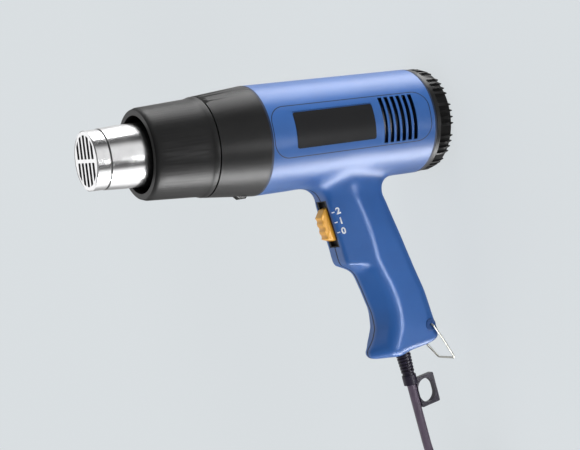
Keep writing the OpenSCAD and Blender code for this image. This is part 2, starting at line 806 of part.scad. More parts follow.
// Plate with two rows of slots, split by a bar across the middle
module outlet_grille() {
  plate_r = seat_r - tube_wall;
  low = tip_z - grille_t - grille_inset;
  color(steel) difference() {
    translate([0, 0, low]) cylinder(r = plate_r, h = grille_t);
    rotate([0, 0, grille_turn]) intersection() {
      translate([0, 0, low - cut]) cylinder(r = plate_r - grille_rim, h = grille_t + 2 * cut);
      union() for (i = [0 : grille_slots - 1], side = [-1, 1])
        translate([
          side > 0 ? grille_bar / 2 : -plate_r,
          (i - (grille_slots - 1) / 2) * grille_pitch - grille_slot_w / 2,
          low - 2 * cut
        ]) cube([plate_r - grille_bar / 2, grille_slot_w, grille_t + 4 * cut]);
    }
  }
}

module switch_frame() {
  floor_z = -frame_inset - tray_depth;
  free_l = stem_l + 2 * slider_travel + 2 * gap;
  color(black) at_switch() difference() {
    translate([-frame_l / 2 + gap, -frame_w / 2 + gap, floor_z - tray_floor_t])
      cube([frame_l - 2 * gap, frame_w - 2 * gap, tray_depth + tray_floor_t]);
    translate([-frame_l / 2 + tray_wall, -slider_w / 2 - seat_gap, floor_z])
      cube([frame_l - 2 * tray_wall, slider_w + 2 * seat_gap, tray_depth + cut]);
    translate([-free_l / 2, -stem_w / 2 - gap, floor_z - tray_floor_t - cut])
      cube([free_l, stem_w + 2 * gap, tray_floor_t + 2 * cut]);
  }
}

module switch_slider() {
  floor_z = -frame_inset - tray_depth;
  low = floor_z + gap;
  color(orange) at_switch() difference() {
    union() {
      translate([0, slider_w / 2, 0]) rotate([90, 0, 0]) linear_extrude(height = slider_w)
        polygon([for (s = slider_line_shares)
          [s[0] * slider_l / 2, s[1] == 0 ? low : slider_proud * s[1]]]);
      translate([-stem_l / 2, -stem_w / 2, floor_z - tray_floor_t - gap - foot_t])
        cube([stem_l, stem_w, tray_floor_t + 2 * gap + foot_t + cut]);
      translate([-foot_l / 2, -foot_w / 2, floor_z - tray_floor_t - gap - foot_t])
        cube([foot_l, foot_w, foot_t]);
    }
    for (i = [-1 : 1])
      translate([(slider_line_shares[2][0] + slider_line_shares[3][0]) * slider_l / 4 + i * 2 * grip_r,
          slider_w / 2 + cut, slider_proud + grip_r - grip_depth])
        rotate([90, 0, 0]) cylinder(r = grip_r, h = slider_w + 2 * cut);
  }
}

module switch_body() {
  top = -frame_inset - tray_depth - tray_floor_t;
  room_l = foot_l + 2 * slider_travel + 2 * gap;
  color(black) at_switch() union() {
    difference() {
      translate([-body_l / 2, -body_w / 2, top - body_t]) cube([body_l, body_w, body_t]);
      translate([-room_l / 2, -foot_w / 2 - gap, top - foot_t - 2 * gap])
        cube([room_l, foot_w + 2 * gap, foot_t + 2 * gap + cut]);
    }
    for (i = [-1 : 1])
      translate([i * body_l / 3 - terminal_t / 2, -terminal_w / 2, top - body_t - terminal_l])
        cube([terminal_t, terminal_w, terminal_l]);
  }
}

module hook_bushes() {
  color(blue) for (side = [-1, 1])
    translate([pivot_x, side * bush_face_y, pivot_z]) rotate([-side * 90, 0, 0]) difference() {
      union() {
        translate([0, 0, -bush_l]) cylinder(r = bush_d / 2, h = bush_l - bush_rim);
        translate([0, 0, -bush_rim]) cylinder(r1 = bush_d / 2, r2 = bush_d / 2 - bush_rim, h = bush_rim);
      }
      translate([0, 0, -bush_l - cut]) cylinder(r = wire_d / 2 + run_gap, h = bush_l + 2 * cut);
    }
}

// Half of the hanging wire as [x, y, z] from its pivot: into the bush, out past the handle, round to
// the end bar's middle
function bail_half() =
  let (
    bend = wire_d * bail_bend_share,
    out_y = bush_face_y + bail_side_gap + bend,
    end_y = bail_end_w / 2,
    corner = wire_d * bail_corner_share,
    straight = bail_l - bend - corner
  )
  concat(
    [[0, bush_face_y - bail_end_l, 0]],
    [for (i = [0 : bail_corner_steps])
      let (angle = 90 * i / bail_corner_steps)
      [bend * (cos(angle) - 1), out_y - bend + bend * sin(angle), 0]],
    [for (i = [1 : bail_steps])
      let (s = i / bail_steps)
      [-bend - straight * s, out_y - (out_y - end_y) * s, -bail_bow * sin(180 * s)]],
    [for (i = [1 : bail_corner_steps])
      let (angle = 90 * i / bail_corner_steps)
      [-bail_l + corner - corner * sin(angle), end_y - corner + corner * cos(angle), 0]]
  );

module hanging_wire() {
  half = bail_half();
  path = concat(half, [for (i = [len(half) - 1 : -1 : 0]) [half[i][0], -half[i][1], half[i][2]]]);
  color(steel) translate([pivot_x, 0, pivot_z]) rotate([0, -bail_drop, 0])
    swept_tube(path, wire_d / 2, bail_sides, [0, 0, 1]);
}

module strain_relief() {
  end_r = relief_end_d / 2;
  start_r = relief_d / 2;
  ribs_l = rib_start + relief_ribs * rib_pitch;
  hole_r = cord_d / 2 + run_gap;
  steps = [for (i = [0 : relief_ribs - 1])
    let (low = rib_start + i * rib_pitch, r = start_r - (start_r - end_r) * i / relief_ribs)
    each [[r - rib_depth, low], [r, low], [r, low + rib_w], [r - rib_depth, low + rib_w]]];
  profile = concat(
    [[hole_r, -relief_inner_l - relief_flange_t], [relief_flange_r, -relief_inner_l - relief_flange_t],
      [relief_flange_r, -relief_inner_l], [start_r, -relief_inner_l], [start_r, -gap],
      [start_r - rib_depth, 0]],
    steps,
    [[end_r - rib_depth / 2, ribs_l], [end_r - rib_depth / 2, relief_l - collar_l],
      [collar_r, relief_l - collar_l], [collar_r, relief_l], [hole_r, relief_l]]
  );
  color(black) at_exit() difference() {
    union() {
      rotate_extrude() polygon(profile);
      hanging_loop();
    }
    translate([0, 0, -relief_inner_l - relief_flange_t - cut])
      cylinder(r = hole_r, h = relief_l + relief_inner_l + relief_flange_t + 2 * cut);
  }
}

// Flat loop beside the cord, for a hook; the cord itself closes its hole on one side
module hanging_loop() {
  low = relief_l * loop_start_share;
  outer_x = cord_d / 2 + loop_w;
  hole_x = outer_x - loop_edge - loop_hole_r;
  difference() {
    translate([loop_w / 2 - outer_x, 0, low + loop_l / 2]) rotate([90, 0, 0])
      translate([0, 0, -loop_t / 2]) linear_extrude(height = loop_t)
        round_rect(loop_w, loop_l, loop_corner);
    for (s = [-1, 1])
      translate([-hole_x, loop_t, low + loop_l / 2 + s * loop_hole_straight / 2])
        rotate([90, 0, 0]) cylinder(r = loop_hole_r, h = 2 * loop_t);
    translate([-hole_x - loop_hole_r, -loop_t, low + loop_l / 2 - loop_hole_straight / 2])
      cube([2 * loop_hole_r, 2 * loop_t, loop_hole_straight]);
  }
}

// Sheathed end of the cord inside the strain relief, up to its clamp
module sheathed_lead() {
  color([0.25, 0.23, 0.28]) at_exit() translate([0, 0, -lead_inner_l])
    cylinder(r = cord_d / 2, h = lead_inner_l + relief_l);
}

// Clamp across the sheathed lead: local X crosses the lead and Z points to +Y
module at_clamp() {
  at_exit() translate([0, 0, -clamp_back]) rotate([-90, 0, 0]) children();
}
module at_clamp_screws() {
  for (side = [-1, 1]) translate([side * (clamp_l / 2 - clamp_post_r), 0, 0]) children();
}
module clamp_posts() {
  depth = clamp_post_share * grip_w / 2;
  at_clamp() {
    at_clamp_screws() translate([0, 0, -depth]) cylinder(r = clamp_post_r, h = depth + cord_d / 2);
    translate([-cord_d / 2, -clamp_w / 2, -depth]) cube([cord_d, clamp_w, depth - cord_d / 2]);
  }
}
module clamp_holes() {
  at_clamp_screws() translate([0, 0, cord_d / 2 + clamp_t - clamp_screw_l])
    cylinder(r = clamp_screw_r + run_gap, h = clamp_screw_l + cut);
}
module cord_clamp() {
  color(black) at_clamp() difference() {
    translate([-clamp_l / 2, -clamp_w / 2, cord_d / 2]) cube([clamp_l, clamp_w, clamp_t]);
    clamp_holes();
  }
}
module clamp_screws() {
  color(steel) at_clamp() at_clamp_screws() union() {
    translate([0, 0, cord_d / 2 + clamp_t]) cylinder(r = clamp_screw_head_r, h = clamp_screw_head_t);
    translate([0, 0, cord_d / 2 + clamp_t - clamp_screw_l + gap])
      cylinder(r = clamp_screw_r, h = clamp_screw_l - gap);
  }
}

module housing_screws() {
  color(steel) at_screws() union() {
    translate([0, 0, -head_depth]) cylinder(r = screw_r, h = screw_l - gap);
    translate([0, 0, -head_depth]) cylinder(r = screw_head_r, h = screw_head_t);
  }
}

// Leads inside the handle: share down the handle, y, and the height as a share of the housing's top
function lead_points(shares) =
  [for (s = shares) [handle_x(s[0], handle_reach), s[1], housing_top * s[2]]];
function lead_start(side) =
  [-handle_reach + lead_inner_l * cos(exit_tilt), side * lead_split,
    exit_z + lead_inner_l * sin(exit_tilt)];
function terminal_end(i, past) =
  let (x = i * body_l / 3, depth = frame_inset + tray_depth + tray_floor_t + body_t + terminal_l + past)
  [slot_x + x * cos(slot_lean) + depth * sin(slot_lean), 0,
    front_z(slot_share) + x * sin(slot_lean) - depth * cos(slot_lean)];
function heater_end(y) = [-(base_plate_r + flange_r) / 2, y, flange_z - base_plate_t];
function board_end() =
  [-board_r + 2 * post_r, -lead_split, duct_low_z + spider_l - motor_l - bell_l - post_l + lead_r];

module lead_wire(points) {
  swept_tube(smooth_path(points, lead_steps), lead_r, lead_sides, [0, 1, 0]);
}

module inner_leads() {
  color([0.55, 0.12, 0.10]) {
    lead_wire(concat(
      [lead_start(-1)], lead_points(live_shares), [terminal_end(-1, lead_straight), terminal_end(-1, 0)]
    ));
    lead_wire(concat([lead_start(1)], lead_points(neutral_shares), [heater_end(lead_split)]));
    lead_wire(concat(
      [terminal_end(0, 0), terminal_end(0, lead_straight)],
      lead_points(heater_shares), [heater_end(-lead_split)]
    ));
    lead_wire(concat(
      [terminal_end(1, 0), terminal_end(1, lead_straight)], lead_points(motor_shares), [board_end()]
    ));
  }
}

module fan_duct() {
  wide_r = bore_r - seat_gap;
  wide_z = duct_low_z + duct_wide_l;
  neck_z = wide_z + duct_taper_l;
  top_z = flange_z - base_plate_t;
  flange_low = top_z - duct_flange_t;
  color(black) difference() {
    union() {
      rotate_extrude() polygon([
        [wide_r - duct_t, duct_low_z], [wide_r, duct_low_z], [wide_r, wide_z], [duct_neck_r, neck_z],
        [duct_neck_r, flange_low], [flange_r, flange_low], [flange_r, top_z],
        [duct_neck_r - duct_t, top_z], [duct_neck_r - duct_t, neck_z], [wide_r - duct_t, wide_z]
      ]);
      at_tube_screws() translate([0, 0, top_z - tube_screw_l])
        cylinder(r = 2 * tube_screw_r, h = tube_screw_l);
      ring(motor_r + gap, motor_r + spider_ring_t, duct_low_z, duct_low_z + spider_l);
      for (i = [0 : spider_arms - 1]) rotate([0, 0, 360 * i / spider_arms])
        translate([motor_r + spider_ring_t / 2, -spider_w / 2, duct_low_z])
          cube([wide_r - duct_t / 2 - motor_r - spider_ring_t / 2, spider_w, spider_l]);
    }
    at_tube_screws() translate([0, 0, top_z - tube_screw_l - cut])
      cylinder(r = tube_screw_r + run_gap, h = tube_screw_l + 2 * cut);
  }
}

// Can with its two magnets, its open end towards the rear
module motor_can() {
  top = duct_low_z + spider_l;
  low = top - motor_l;
  color(steel) union() {
    ring(motor_r - motor_t, motor_r, low, top - motor_t / 2);
    ring(bearing_r + gap, motor_r, top - motor_t, top);
    for (side = [0, 180]) rotate([0, 0, side - magnet_angle / 2]) rotate_extrude(angle = magnet_angle)
      translate([motor_r - motor_t - magnet_t, low + bell_l])
        square([magnet_t + motor_t / 2, motor_l - 2 * bell_l]);
  }
}

module motor_end_bell() {
  low = duct_low_z + spider_l - motor_l - bell_l;
  color(black) difference() {
    union() {
      translate([0, 0, low]) cylinder(r = motor_r - bell_inset, h = bell_l);
      translate([0, 0, low]) cylinder(r = motor_r - motor_t - gap, h = bell_l + post_l);
      for (i = [0 : spider_arms - 1]) rotate([0, 0, 360 * i / spider_arms + post_turn])
        translate([post_ring_r, 0, low - post_l]) cylinder(r = post_r, h = 2 * post_l);
    }
    translate([0, 0, low - cut]) cylinder(r = shaft_r + run_gap, h = bell_l + post_l + 2 * cut);
    translate([0, 0, low + bell_l / 2]) cylinder(r = motor_r - motor_t - magnet_t, h = bell_l + post_l);
  }
}

// Armature, commutator and shaft as one turned piece
module motor_shaft() {
  top = duct_low_z + spider_l;
  low = top - motor_l;
  core_r = motor_r - motor_t - magnet_t - core_gap;
  color(steel) difference() {
    union() {
      translate([0, 0, low - bell_l + gap])
        cylinder(r = shaft_r, h = motor_l + bell_l + impeller_rise + impeller_l);
      translate([0, 0, low + 2 * bell_l]) cylinder(r = core_r, h = motor_l - 3 * bell_l);
      translate([0, 0, low + bell_l]) cylinder(r = core_r / 2, h = motor_l - 2 * bell_l + bell_l / 2);
    }
    for (i = [0 : slot_count - 1]) rotate([0, 0, 360 * i / slot_count])
      translate([core_r * core_slot_share, -core_slot_w / 2, low])
        cube([core_r, core_slot_w, motor_l]);
  }
}

module impeller() {
  low = duct_low_z + spider_l + impeller_rise;
  tip_r = bore_r - seat_gap - duct_t - impeller_gap;
  color(black) difference() {
    union() {
      translate([0, 0, low]) cylinder(r = impeller_hub_r, h = impeller_l);
      intersection() {
        ring(0, tip_r, low + impeller_l * blade_low_share, low + impeller_l);
        for (i = [0 : blade_count - 1]) rotate([0, 0, 360 * i / blade_count])
          translate([0, 0, low + impeller_l / 2]) rotate([blade_tilt, 0, 0])
            translate([impeller_hub_r / 2, -blade_t / 2, -impeller_l])
              cube([barrel_r, blade_t, 2 * impeller_l]);
      }
    }
    translate([0, 0, low - cut]) cylinder(r = shaft_r + run_gap, h = impeller_l + 2 * cut);
  }
}

module rectifier_board() {
  top = duct_low_z + spider_l - motor_l - bell_l - post_l;
  color([0.72, 0.55, 0.25]) ring(2 * shaft_r, board_r, top - board_t, top);
}

module diodes() {
  top = duct_low_z + spider_l - motor_l - bell_l - post_l - board_t;
  color(black) for (x = [-1, 1], y = [-1, 1])
    translate([x * board_r / 2, y * board_r / 2 + diode_l / 2, top - diode_r]) rotate([90, 0, 0])
      cylinder(r = diode_r, h = diode_l);
}

// Base ring, two crossing plates and the front spacer, with room for the coil of heating wire
module heater_core() {
  low = flange_z - base_plate_t;
  top = tip_z - seat_l - core_end_gap;
  rim_r = seat_r - tube_wall - seat_gap - sleeve_t - gap;
  color([0.85, 0.80, 0.66]) difference() {
    union() {
      ring(base_plate_bore_r, base_plate_r, low, flange_z);
      ring(rim_r - collar_rim_t, rim_r, low, flange_z + collar_rim_l);
      ring(base_plate_bore_r, rim_r, top - spacer_t, top);
      for (turn = [0, 90]) rotate([0, 0, turn])
        translate([-core_edge_r, -core_t / 2, low]) cube([2 * core_edge_r, core_t, top - low]);
    }
    at_tube_screws() translate([0, 0, low - cut])
      cylinder(r = tube_screw_r + gap, h = base_plate_t + 2 * cut);
  }
}

// Heating wire on a cylinder: angle and height along its length, straight at both ends
heater_low = flange_z;
heater_high = tip_z - seat_l - core_end_gap - spacer_t;
function heater_angle(i) = 360 * i / heater_rings;
function heater_coil_path() =
  let (
    n = heater_turns * heater_rings,
    low = heater_low + heater_start_l,
    high = heater_high - heater_start_l
  )
  concat(
    [[heater_r, 0, heater_low], [heater_r, 0, heater_low + 2 * coil_wire_r]],
    [for (i = [1 : n])
      [heater_r * cos(heater_angle(i)), heater_r * sin(heater_angle(i)), low + (high - low) * i / n]],
    [[heater_r, 0, heater_high - 2 * coil_wire_r], [heater_r, 0, heater_high]]
  );
module heater_coil() {
  color(steel) swept_tube(heater_coil_path(), coil_wire_r, coil_sides, [1, 0, 0]);
}

module mica_sleeve() {
  r = seat_r - tube_wall - seat_gap;
  color([0.80, 0.74, 0.58]) ring(r - sleeve_t, r, flange_z, tip_z - seat_l - sleeve_end_gap);
}

module thermal_cutout() {
  color(black) translate([core_t, core_t / 2, flange_z]) cube(cutout_size);
}

// Mouth of the strain relief, where the free cord starts
mouth_x = -handle_reach - relief_l * cos(exit_tilt);
relief_mouth_z = exit_z - relief_l * sin(exit_tilt);
function cord_route() = concat(
  [[mouth_x, 0, relief_mouth_z]],
  [for (p = cord_route_shares) [mouth_x + p[0], p[1], cord_r + (relief_mouth_z - cord_r) * p[2]]],
  [[mouth_x + coil_from_mouth + coil_lead_in, coil_side, cord_r]]
);

echo(least_gap_of_heater_coil = turn_gap(heater_coil_path(), coil_wire_r, heater_rings / 2));

module power_cord() {
  color([0.25, 0.23, 0.28])
    swept_tube(smooth_path(cord_route(), cord_steps), cord_r, cord_sides, [0, 0, 1]);
}

// Coil around its own middle: 0 turns is at the outside of the lowest layer. In a layer the radius
// goes steadily in or out; in the half turn after it the radius turns back and the cord climbs.
coil_block = coil_turns + coil_turn_back;
coil_total = coil_layers * coil_turns + (coil_layers - 1) * coil_turn_back;
function coil_layer(t) = min(floor(t / coil_block), coil_layers - 1);
function coil_in(layer) = layer % 2 == 0;
function coil_radius(t) =
  let (
    layer = coil_layer(t), u = t - layer * coil_block, inner = coil_r - coil_pitch * coil_turns,
    v = u - coil_turns, sign = coil_in(layer) ? -1 : 1,
    start = coil_in(layer) ? coil_r : inner, end = coil_in(layer) ? inner : coil_r
  )
  v <= 0 ? start + sign * coil_pitch * u : end + sign * coil_pitch * (v - v * v / coil_turn_back);
function coil_height(t) =
  let (layer = coil_layer(t), v = max(0, t - layer * coil_block - coil_turns) / coil_turn_back)
  cord_r + coil_pitch * (layer + v * v * (3 - 2 * v));
function coil_point(t) =
  let (angle = 90 + 360 * t) [coil_radius(t) * cos(angle), coil_radius(t) * sin(angle), coil_height(t)];
coil_top = coil_height(coil_total);
plug_z = coil_top + cord_r + run_gap + plug_t / 2;
function coil_path() = concat(
  [[coil_lead_in, coil_r, cord_r], [coil_lead_in / 2, coil_r, cord_r]],
  [for (i = [0 : coil_total * coil_rings]) coil_point(i / coil_rings)],
  [for (p = tail_shares) [coil_r * p[0], coil_r * p[1], coil_top + (plug_z - coil_top) * p[2]]]
);
echo(least_gap_of_cord_coil = turn_gap(coil_path(), cord_r, coil_rings / 2));
module at_coil() {
  translate([mouth_x + coil_from_mouth, coil_side - coil_r, 0]) children();
}

module cord_coil() {
  color([0.25, 0.23, 0.28]) at_coil() swept_tube(coil_path(), cord_r, coil_sides, [0, 0, 1]);
}

// Local Z runs from the cord's end to the blades
module at_plug() {
  last = tail_shares[len(tail_shares) - 1];
  at_coil() translate([coil_r * last[0], coil_r * last[1], plug_z]) rotate([0, -90, 0]) children();
}

module plug_body() {
  color(black) at_plug() difference() {
    union() {
      cylinder(r1 = plug_neck_r, r2 = plug_neck_end_r, h = plug_neck_l);
      translate([0, 0, plug_neck_l]) linear_extrude(height = plug_l - plug_neck_l)
        round_rect(plug_t, plug_w, plug_corner);
    }
    plug_blade_pair(gap, cut);
  }
}

module plug_blade_pair(extra, past) {
  low = plug_l - blade_root_l - extra;
  for (side = [-1, 1])
    translate([-blade_h / 2 - extra, side * blade_space / 2 - blade_plate_t / 2 - extra, low])
      cube([blade_h + 2 * extra, blade_plate_t + 2 * extra, blade_root_l + extra + past]);
}

module plug_blades() {
  color(steel) at_plug() plug_blade_pair(0, blade_l);
}

left_housing();
right_housing();
label_plate();
rear_cap();
front_cone();
heat_guard();
nozzle_tube();
outlet_grille();
switch_frame();
switch_slider();
switch_body();
hook_bushes();
hanging_wire();
strain_relief();
cord_clamp();
clamp_screws();
sheathed_lead();
inner_leads();
fan_duct();
motor_can();
motor_end_bell();
motor_shaft();
impeller();
rectifier_board();
diodes();
heater_core();
heater_coil();
mica_sleeve();
thermal_cutout();
tube_screws();
housing_screws();
power_cord();
cord_coil();
plug_body();
plug_blades();
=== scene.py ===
"""Looks of the hot air tool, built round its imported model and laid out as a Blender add-on."""

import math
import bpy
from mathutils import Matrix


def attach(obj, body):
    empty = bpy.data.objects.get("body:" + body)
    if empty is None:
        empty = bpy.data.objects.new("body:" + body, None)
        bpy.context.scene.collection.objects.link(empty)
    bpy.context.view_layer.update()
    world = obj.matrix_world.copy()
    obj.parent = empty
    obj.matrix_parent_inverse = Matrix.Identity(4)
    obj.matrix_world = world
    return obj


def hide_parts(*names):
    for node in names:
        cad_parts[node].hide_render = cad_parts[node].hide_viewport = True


bl_info = {
    "name": "Hot Air Tool",
    "version": (1, 0, 0),
    "blender": (4, 5, 0),
    "location": "3D View > Sidebar > Hot Air Tool",
    "description": "Builds the looks, cord and studio of a pistol-grip hot air tool round its model",
    "category": "Object",
}

import bmesh
import bpy
import numpy as np
from bpy.props import FloatProperty, FloatVectorProperty, IntProperty, PointerProperty
from mathutils import Matrix, Vector
from mathutils.bvhtree import BVHTree

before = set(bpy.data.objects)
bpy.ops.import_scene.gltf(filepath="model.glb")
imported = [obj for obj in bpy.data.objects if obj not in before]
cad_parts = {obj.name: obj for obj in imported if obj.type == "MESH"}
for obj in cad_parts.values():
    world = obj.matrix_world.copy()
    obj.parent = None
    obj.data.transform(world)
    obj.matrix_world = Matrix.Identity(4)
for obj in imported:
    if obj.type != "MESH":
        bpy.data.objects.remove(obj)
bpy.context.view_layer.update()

MM = 0.001

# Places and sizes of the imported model, in millimetres and degrees; places in its middle plane are (x, z)
BARREL_R = 35.2
BORE_R = 32.8
CAP_L = 15.0
HOUSING_TOP = 141.0
HANDLE_REACH = 154.4
GRIP_W = 33.0
WALL = 2.4
PIVOT = (-137.95, 28.59)
BUSH_R = 4.15
BUSH_FACE = 13.596
MOUTH = (-176.206, 42.633)
EXIT = (-154.4, 45.543)
EXIT_TILT = 7.6
EXIT_R = 5.15
SLOT = (-60.828, 89.113)
SLOT_LEAN = 10.11
SLOT_HALF = (15.9, 6.2)
SLOT_DEPTH = 14.4
VENT_COUNT = 6
VENT_FIRST = 32.2
VENT_PITCH = 4.7
VENT_HALF = 1.45
VENT_REACH = 25.0
PANEL_LIFT = 1.6
LABEL_MIDDLE = (1.6, 93.1)
LABEL_HALF = (11.55, 29.65)
LABEL_SINK = 0.3
GROOVE_Z = 239.95

# Housing screw: shank radius, head radius, head thickness and shank length; depth of its seat from the seam
SCREW = (1.5, 2.8, 2.0, 12.85)
SCREW_SEAT = 5.0
SCREW_WAY_R = 2.95

# Screw places: in the barrel, a share of its bore and shares of the housing's top; in the handle, a share of
# the way down and the distance from the ridge as a share of the grip's width
BARREL_SCREWS = (0.83, (0.245, 0.905))
HANDLE_SCREWS = ((0.04, -0.3), (0.54, -0.3), (0.92, 0.08))

# Cutters run to this distance from the middle plane, past the outside of the housing
OUTSIDE = 40.0

# The moulded form runs past both ends of the housing before it is cut straight, and its room runs further
SPARE = 6.0
ROOM_SPARE = 10.0

# Rows along the handle and steps round half of it, for its skin and for its room
SKIN_ROWS = 150
SKIN_STEPS = 44
ROOM_ROWS = 60
ROOM_STEPS = 20

# A point of the fused form this near to the barrel or the handle is put back on it, in metres. Points past
# HANDLE_SIDE on X are compared with the handle
SNAP = 0.0009
HANDLE_SIDE = -0.012

# Smoothing where barrel and handle meet and at the handle's foot: strength and rounds
MEETING = (0.6, 90)
FOOT = (0.5, 5)

# The foot's smoothing starts this far before the handle's end and is full after the second length
FOOT_SPAN = (5.0, 2.0)

# Hanging wire: thickness, length, half width at its end, gap beside the bushes, how far its ends go into
# them, and the bow of its legs, in millimetres; the angle at which it rests, in degrees
WIRE = 1.4
WIRE_LENGTH = 32.0
WIRE_END = 9.5
WIRE_GAP = 0.3
WIRE_SEAT = 3.5
WIRE_BOW = 0.3
WIRE_REST = -35.0

# Heating wire: radius of its coil, lower and upper end, turns, points per turn, length of its straight ends,
# distance from each end to the first turn, and radius of the wire
HEATER_R = 14.05
HEATER_ENDS = (140.2, 231.2)
HEATER_TURNS = 12
HEATER_RINGS = 28
HEATER_LEAD = 1.6
HEATER_START = 4.0
HEATER_WIRE_R = 0.8

# Sloped panel beside the switch: its outward direction and the middles of its printed marks
PANEL_OUT = (-0.068, -0.919, 0.388)
MARKS = (("2", (-52.8, -10.6, 86.2)), ("1", (-59.5, -10.6, 85.0)), ("0", (-66.2, -10.5, 84.1)))

# Printed ink: its thickness and how far its face stands off the plastic, in metres
INK = 0.00008
INK_LIFT = 0.00006

# Rows of the handle: share of the way down, front, ridge and back as shares of the housing's top,
# then nose flat, nose radius, ridge half width, ridge radius and back radius as shares of the width
HANDLE_ROWS = (
    (-0.077, 0.738, 0.539, 0.270, 0.212, 0.085, 0.685, 0.300, 0.394),
    (-0.052, 0.738, 0.539, 0.270, 0.212, 0.085, 0.625, 0.280, 0.394),
    (-0.035, 0.738, 0.539, 0.270, 0.212, 0.085, 0.585, 0.270, 0.394),
    (-0.010, 0.738, 0.537, 0.270, 0.212, 0.085, 0.540, 0.260, 0.394),
    (0.002, 0.713, 0.535, 0.284, 0.212, 0.085, 0.522, 0.252, 0.394),
    (0.015, 0.689, 0.532, 0.304, 0.212, 0.085, 0.509, 0.256, 0.394),
    (0.036, 0.668, 0.528, 0.318, 0.212, 0.085, 0.500, 0.269, 0.394),
    (0.079, 0.652, 0.520, 0.324, 0.212, 0.085, 0.495, 0.301, 0.394),
    (0.141, 0.643, 0.503, 0.309, 0.212, 0.085, 0.494, 0.317, 0.394),
    (0.242, 0.628, 0.478, 0.282, 0.212, 0.085, 0.494, 0.317, 0.394),
    (0.351, 0.611, 0.460, 0.252, 0.212, 0.085, 0.494, 0.317, 0.394),
    (0.422, 0.602, 0.453, 0.234, 0.212, 0.085, 0.494, 0.311, 0.394),
    (0.448, 0.593, 0.449, 0.227, 0.200, 0.085, 0.494, 0.305, 0.394),
    (0.465, 0.571, 0.445, 0.223, 0.136, 0.100, 0.494, 0.301, 0.394),
    (0.481, 0.550, 0.437, 0.218, 0.076, 0.120, 0.494, 0.295, 0.394),
    (0.510, 0.529, 0.429, 0.211, 0.030, 0.136, 0.494, 0.287, 0.394),
    (0.582, 0.506, 0.404, 0.191, 0.030, 0.136, 0.494, 0.287, 0.394),
    (0.669, 0.484, 0.381, 0.167, 0.030, 0.136, 0.494, 0.287, 0.394),
    (0.762, 0.463, 0.370, 0.150, 0.030, 0.136, 0.494, 0.287, 0.394),
    (0.820, 0.460, 0.372, 0.140, 0.030, 0.136, 0.494, 0.287, 0.394),
    (0.871, 0.473, 0.386, 0.130, 0.030, 0.136, 0.494, 0.287, 0.394),
    (0.913, 0.495, 0.403, 0.123, 0.030, 0.136, 0.495, 0.275, 0.394),
    (0.940, 0.514, 0.414, 0.128, 0.030, 0.136, 0.494, 0.243, 0.385),
    (0.955, 0.520, 0.417, 0.144, 0.030, 0.134, 0.488, 0.223, 0.372),
    (0.966, 0.521, 0.417, 0.172, 0.030, 0.131, 0.481, 0.208, 0.360),
    (0.975, 0.519, 0.417, 0.222, 0.030, 0.128, 0.472, 0.192, 0.350),
    (0.982, 0.515, 0.414, 0.270, 0.030, 0.124, 0.460, 0.186, 0.335),
    (0.991, 0.507, 0.409, 0.305, 0.030, 0.116, 0.435, 0.174, 0.310),
    (1.000, 0.479, 0.397, 0.335, 0.020, 0.100, 0.370, 0.150, 0.270),
)

# The cord's way from the strain relief's mouth to the coil: x from the mouth, y, share of the height
CORD_SHARES = (
    (-12, 0, 0.9596), (-24, 0, 0.9192), (-34, 0, 0.884), (-43, 0, 0.853), (-49.5, 0.3, 0.812),
    (-55, 1.2, 0.744), (-60, 2.7, 0.645), (-64, 4.1, 0.53), (-69.5, 6.3, 0.325),
    (-73.5, 8.2, 0.205), (-78.5, 10.4, 0.111), (-84, 13, 0.047), (-90, 15.4, 0.013),
    (-96, 17.4, 0), (-103, 19.2, 0), (-109, 20, 0), (-113.5, 20, 0),
)

# The coil: distance of its middle from the mouth, its outer side, radius, pitch of turns and layers, turns
# in a layer, layers, turns from one layer to the next, points per turn, and the cord's radius
COIL_AWAY = 125.0
COIL_SIDE = 20.0
COIL_R = 37.0
COIL_PITCH = 6.6
COIL_TURNS = 1.5
COIL_LAYERS = 4
COIL_BACK = 0.5
COIL_RINGS = 24
CORD_R = 3.0

# The plug lies on the coil: half its height, its gap to the top turn, and the tail that leads to it, as
# shares of the coil's radius and of the rise from the top turn
PLUG_HALF = 8.0
PLUG_GAP = 0.05
TAIL_SHARES = (
    (0.132, -1.001, 0.004), (0.264, -0.987, 0.02), (0.403, -0.95, 0.05), (0.536, -0.892, 0.092),
    (0.671, -0.799, 0.145), (0.793, -0.665, 0.205), (0.896, -0.497, 0.27), (0.958, -0.33, 0.335),
    (0.993, -0.157, 0.4), (1, 0, 0.46), (0.978, 0.168, 0.565), (0.914, 0.324, 0.67),
    (0.811, 0.459, 0.774), (0.676, 0.562, 0.86), (0.519, 0.627, 0.94), (0.351, 0.649, 1),
    (0.24, 0.649, 1), (0.135, 0.649, 1),
)

# Camera fitted to the photograph: sensor and lens in millimetres, place in metres, and where its right side
# and its back point
SENSOR = 36.0
LENS = 80.69
CAMERA_PLACE = (-0.03798, -0.72795, 0.53308)
CAMERA_RIGHT = (-0.1495, -0.4934, -0.8569)
CAMERA_BACK = (0.0227, -0.8681, 0.4958)

# Floor: half width and depth under the tool in metres. Between two distances from the barrel's axis, in
# millimetres, its glow loses strength and its glowing share rises, so that the shadow stays near the tool
FLOOR_HALF = 4.0
FLOOR_DROP = 0.0002
FLOOR_FADE = (330.0, 620.0)
FLOOR_GLOW = 1.085
FLOOR_GLOW_LOSS = 0.07
FLOOR_SHARE = 0.82

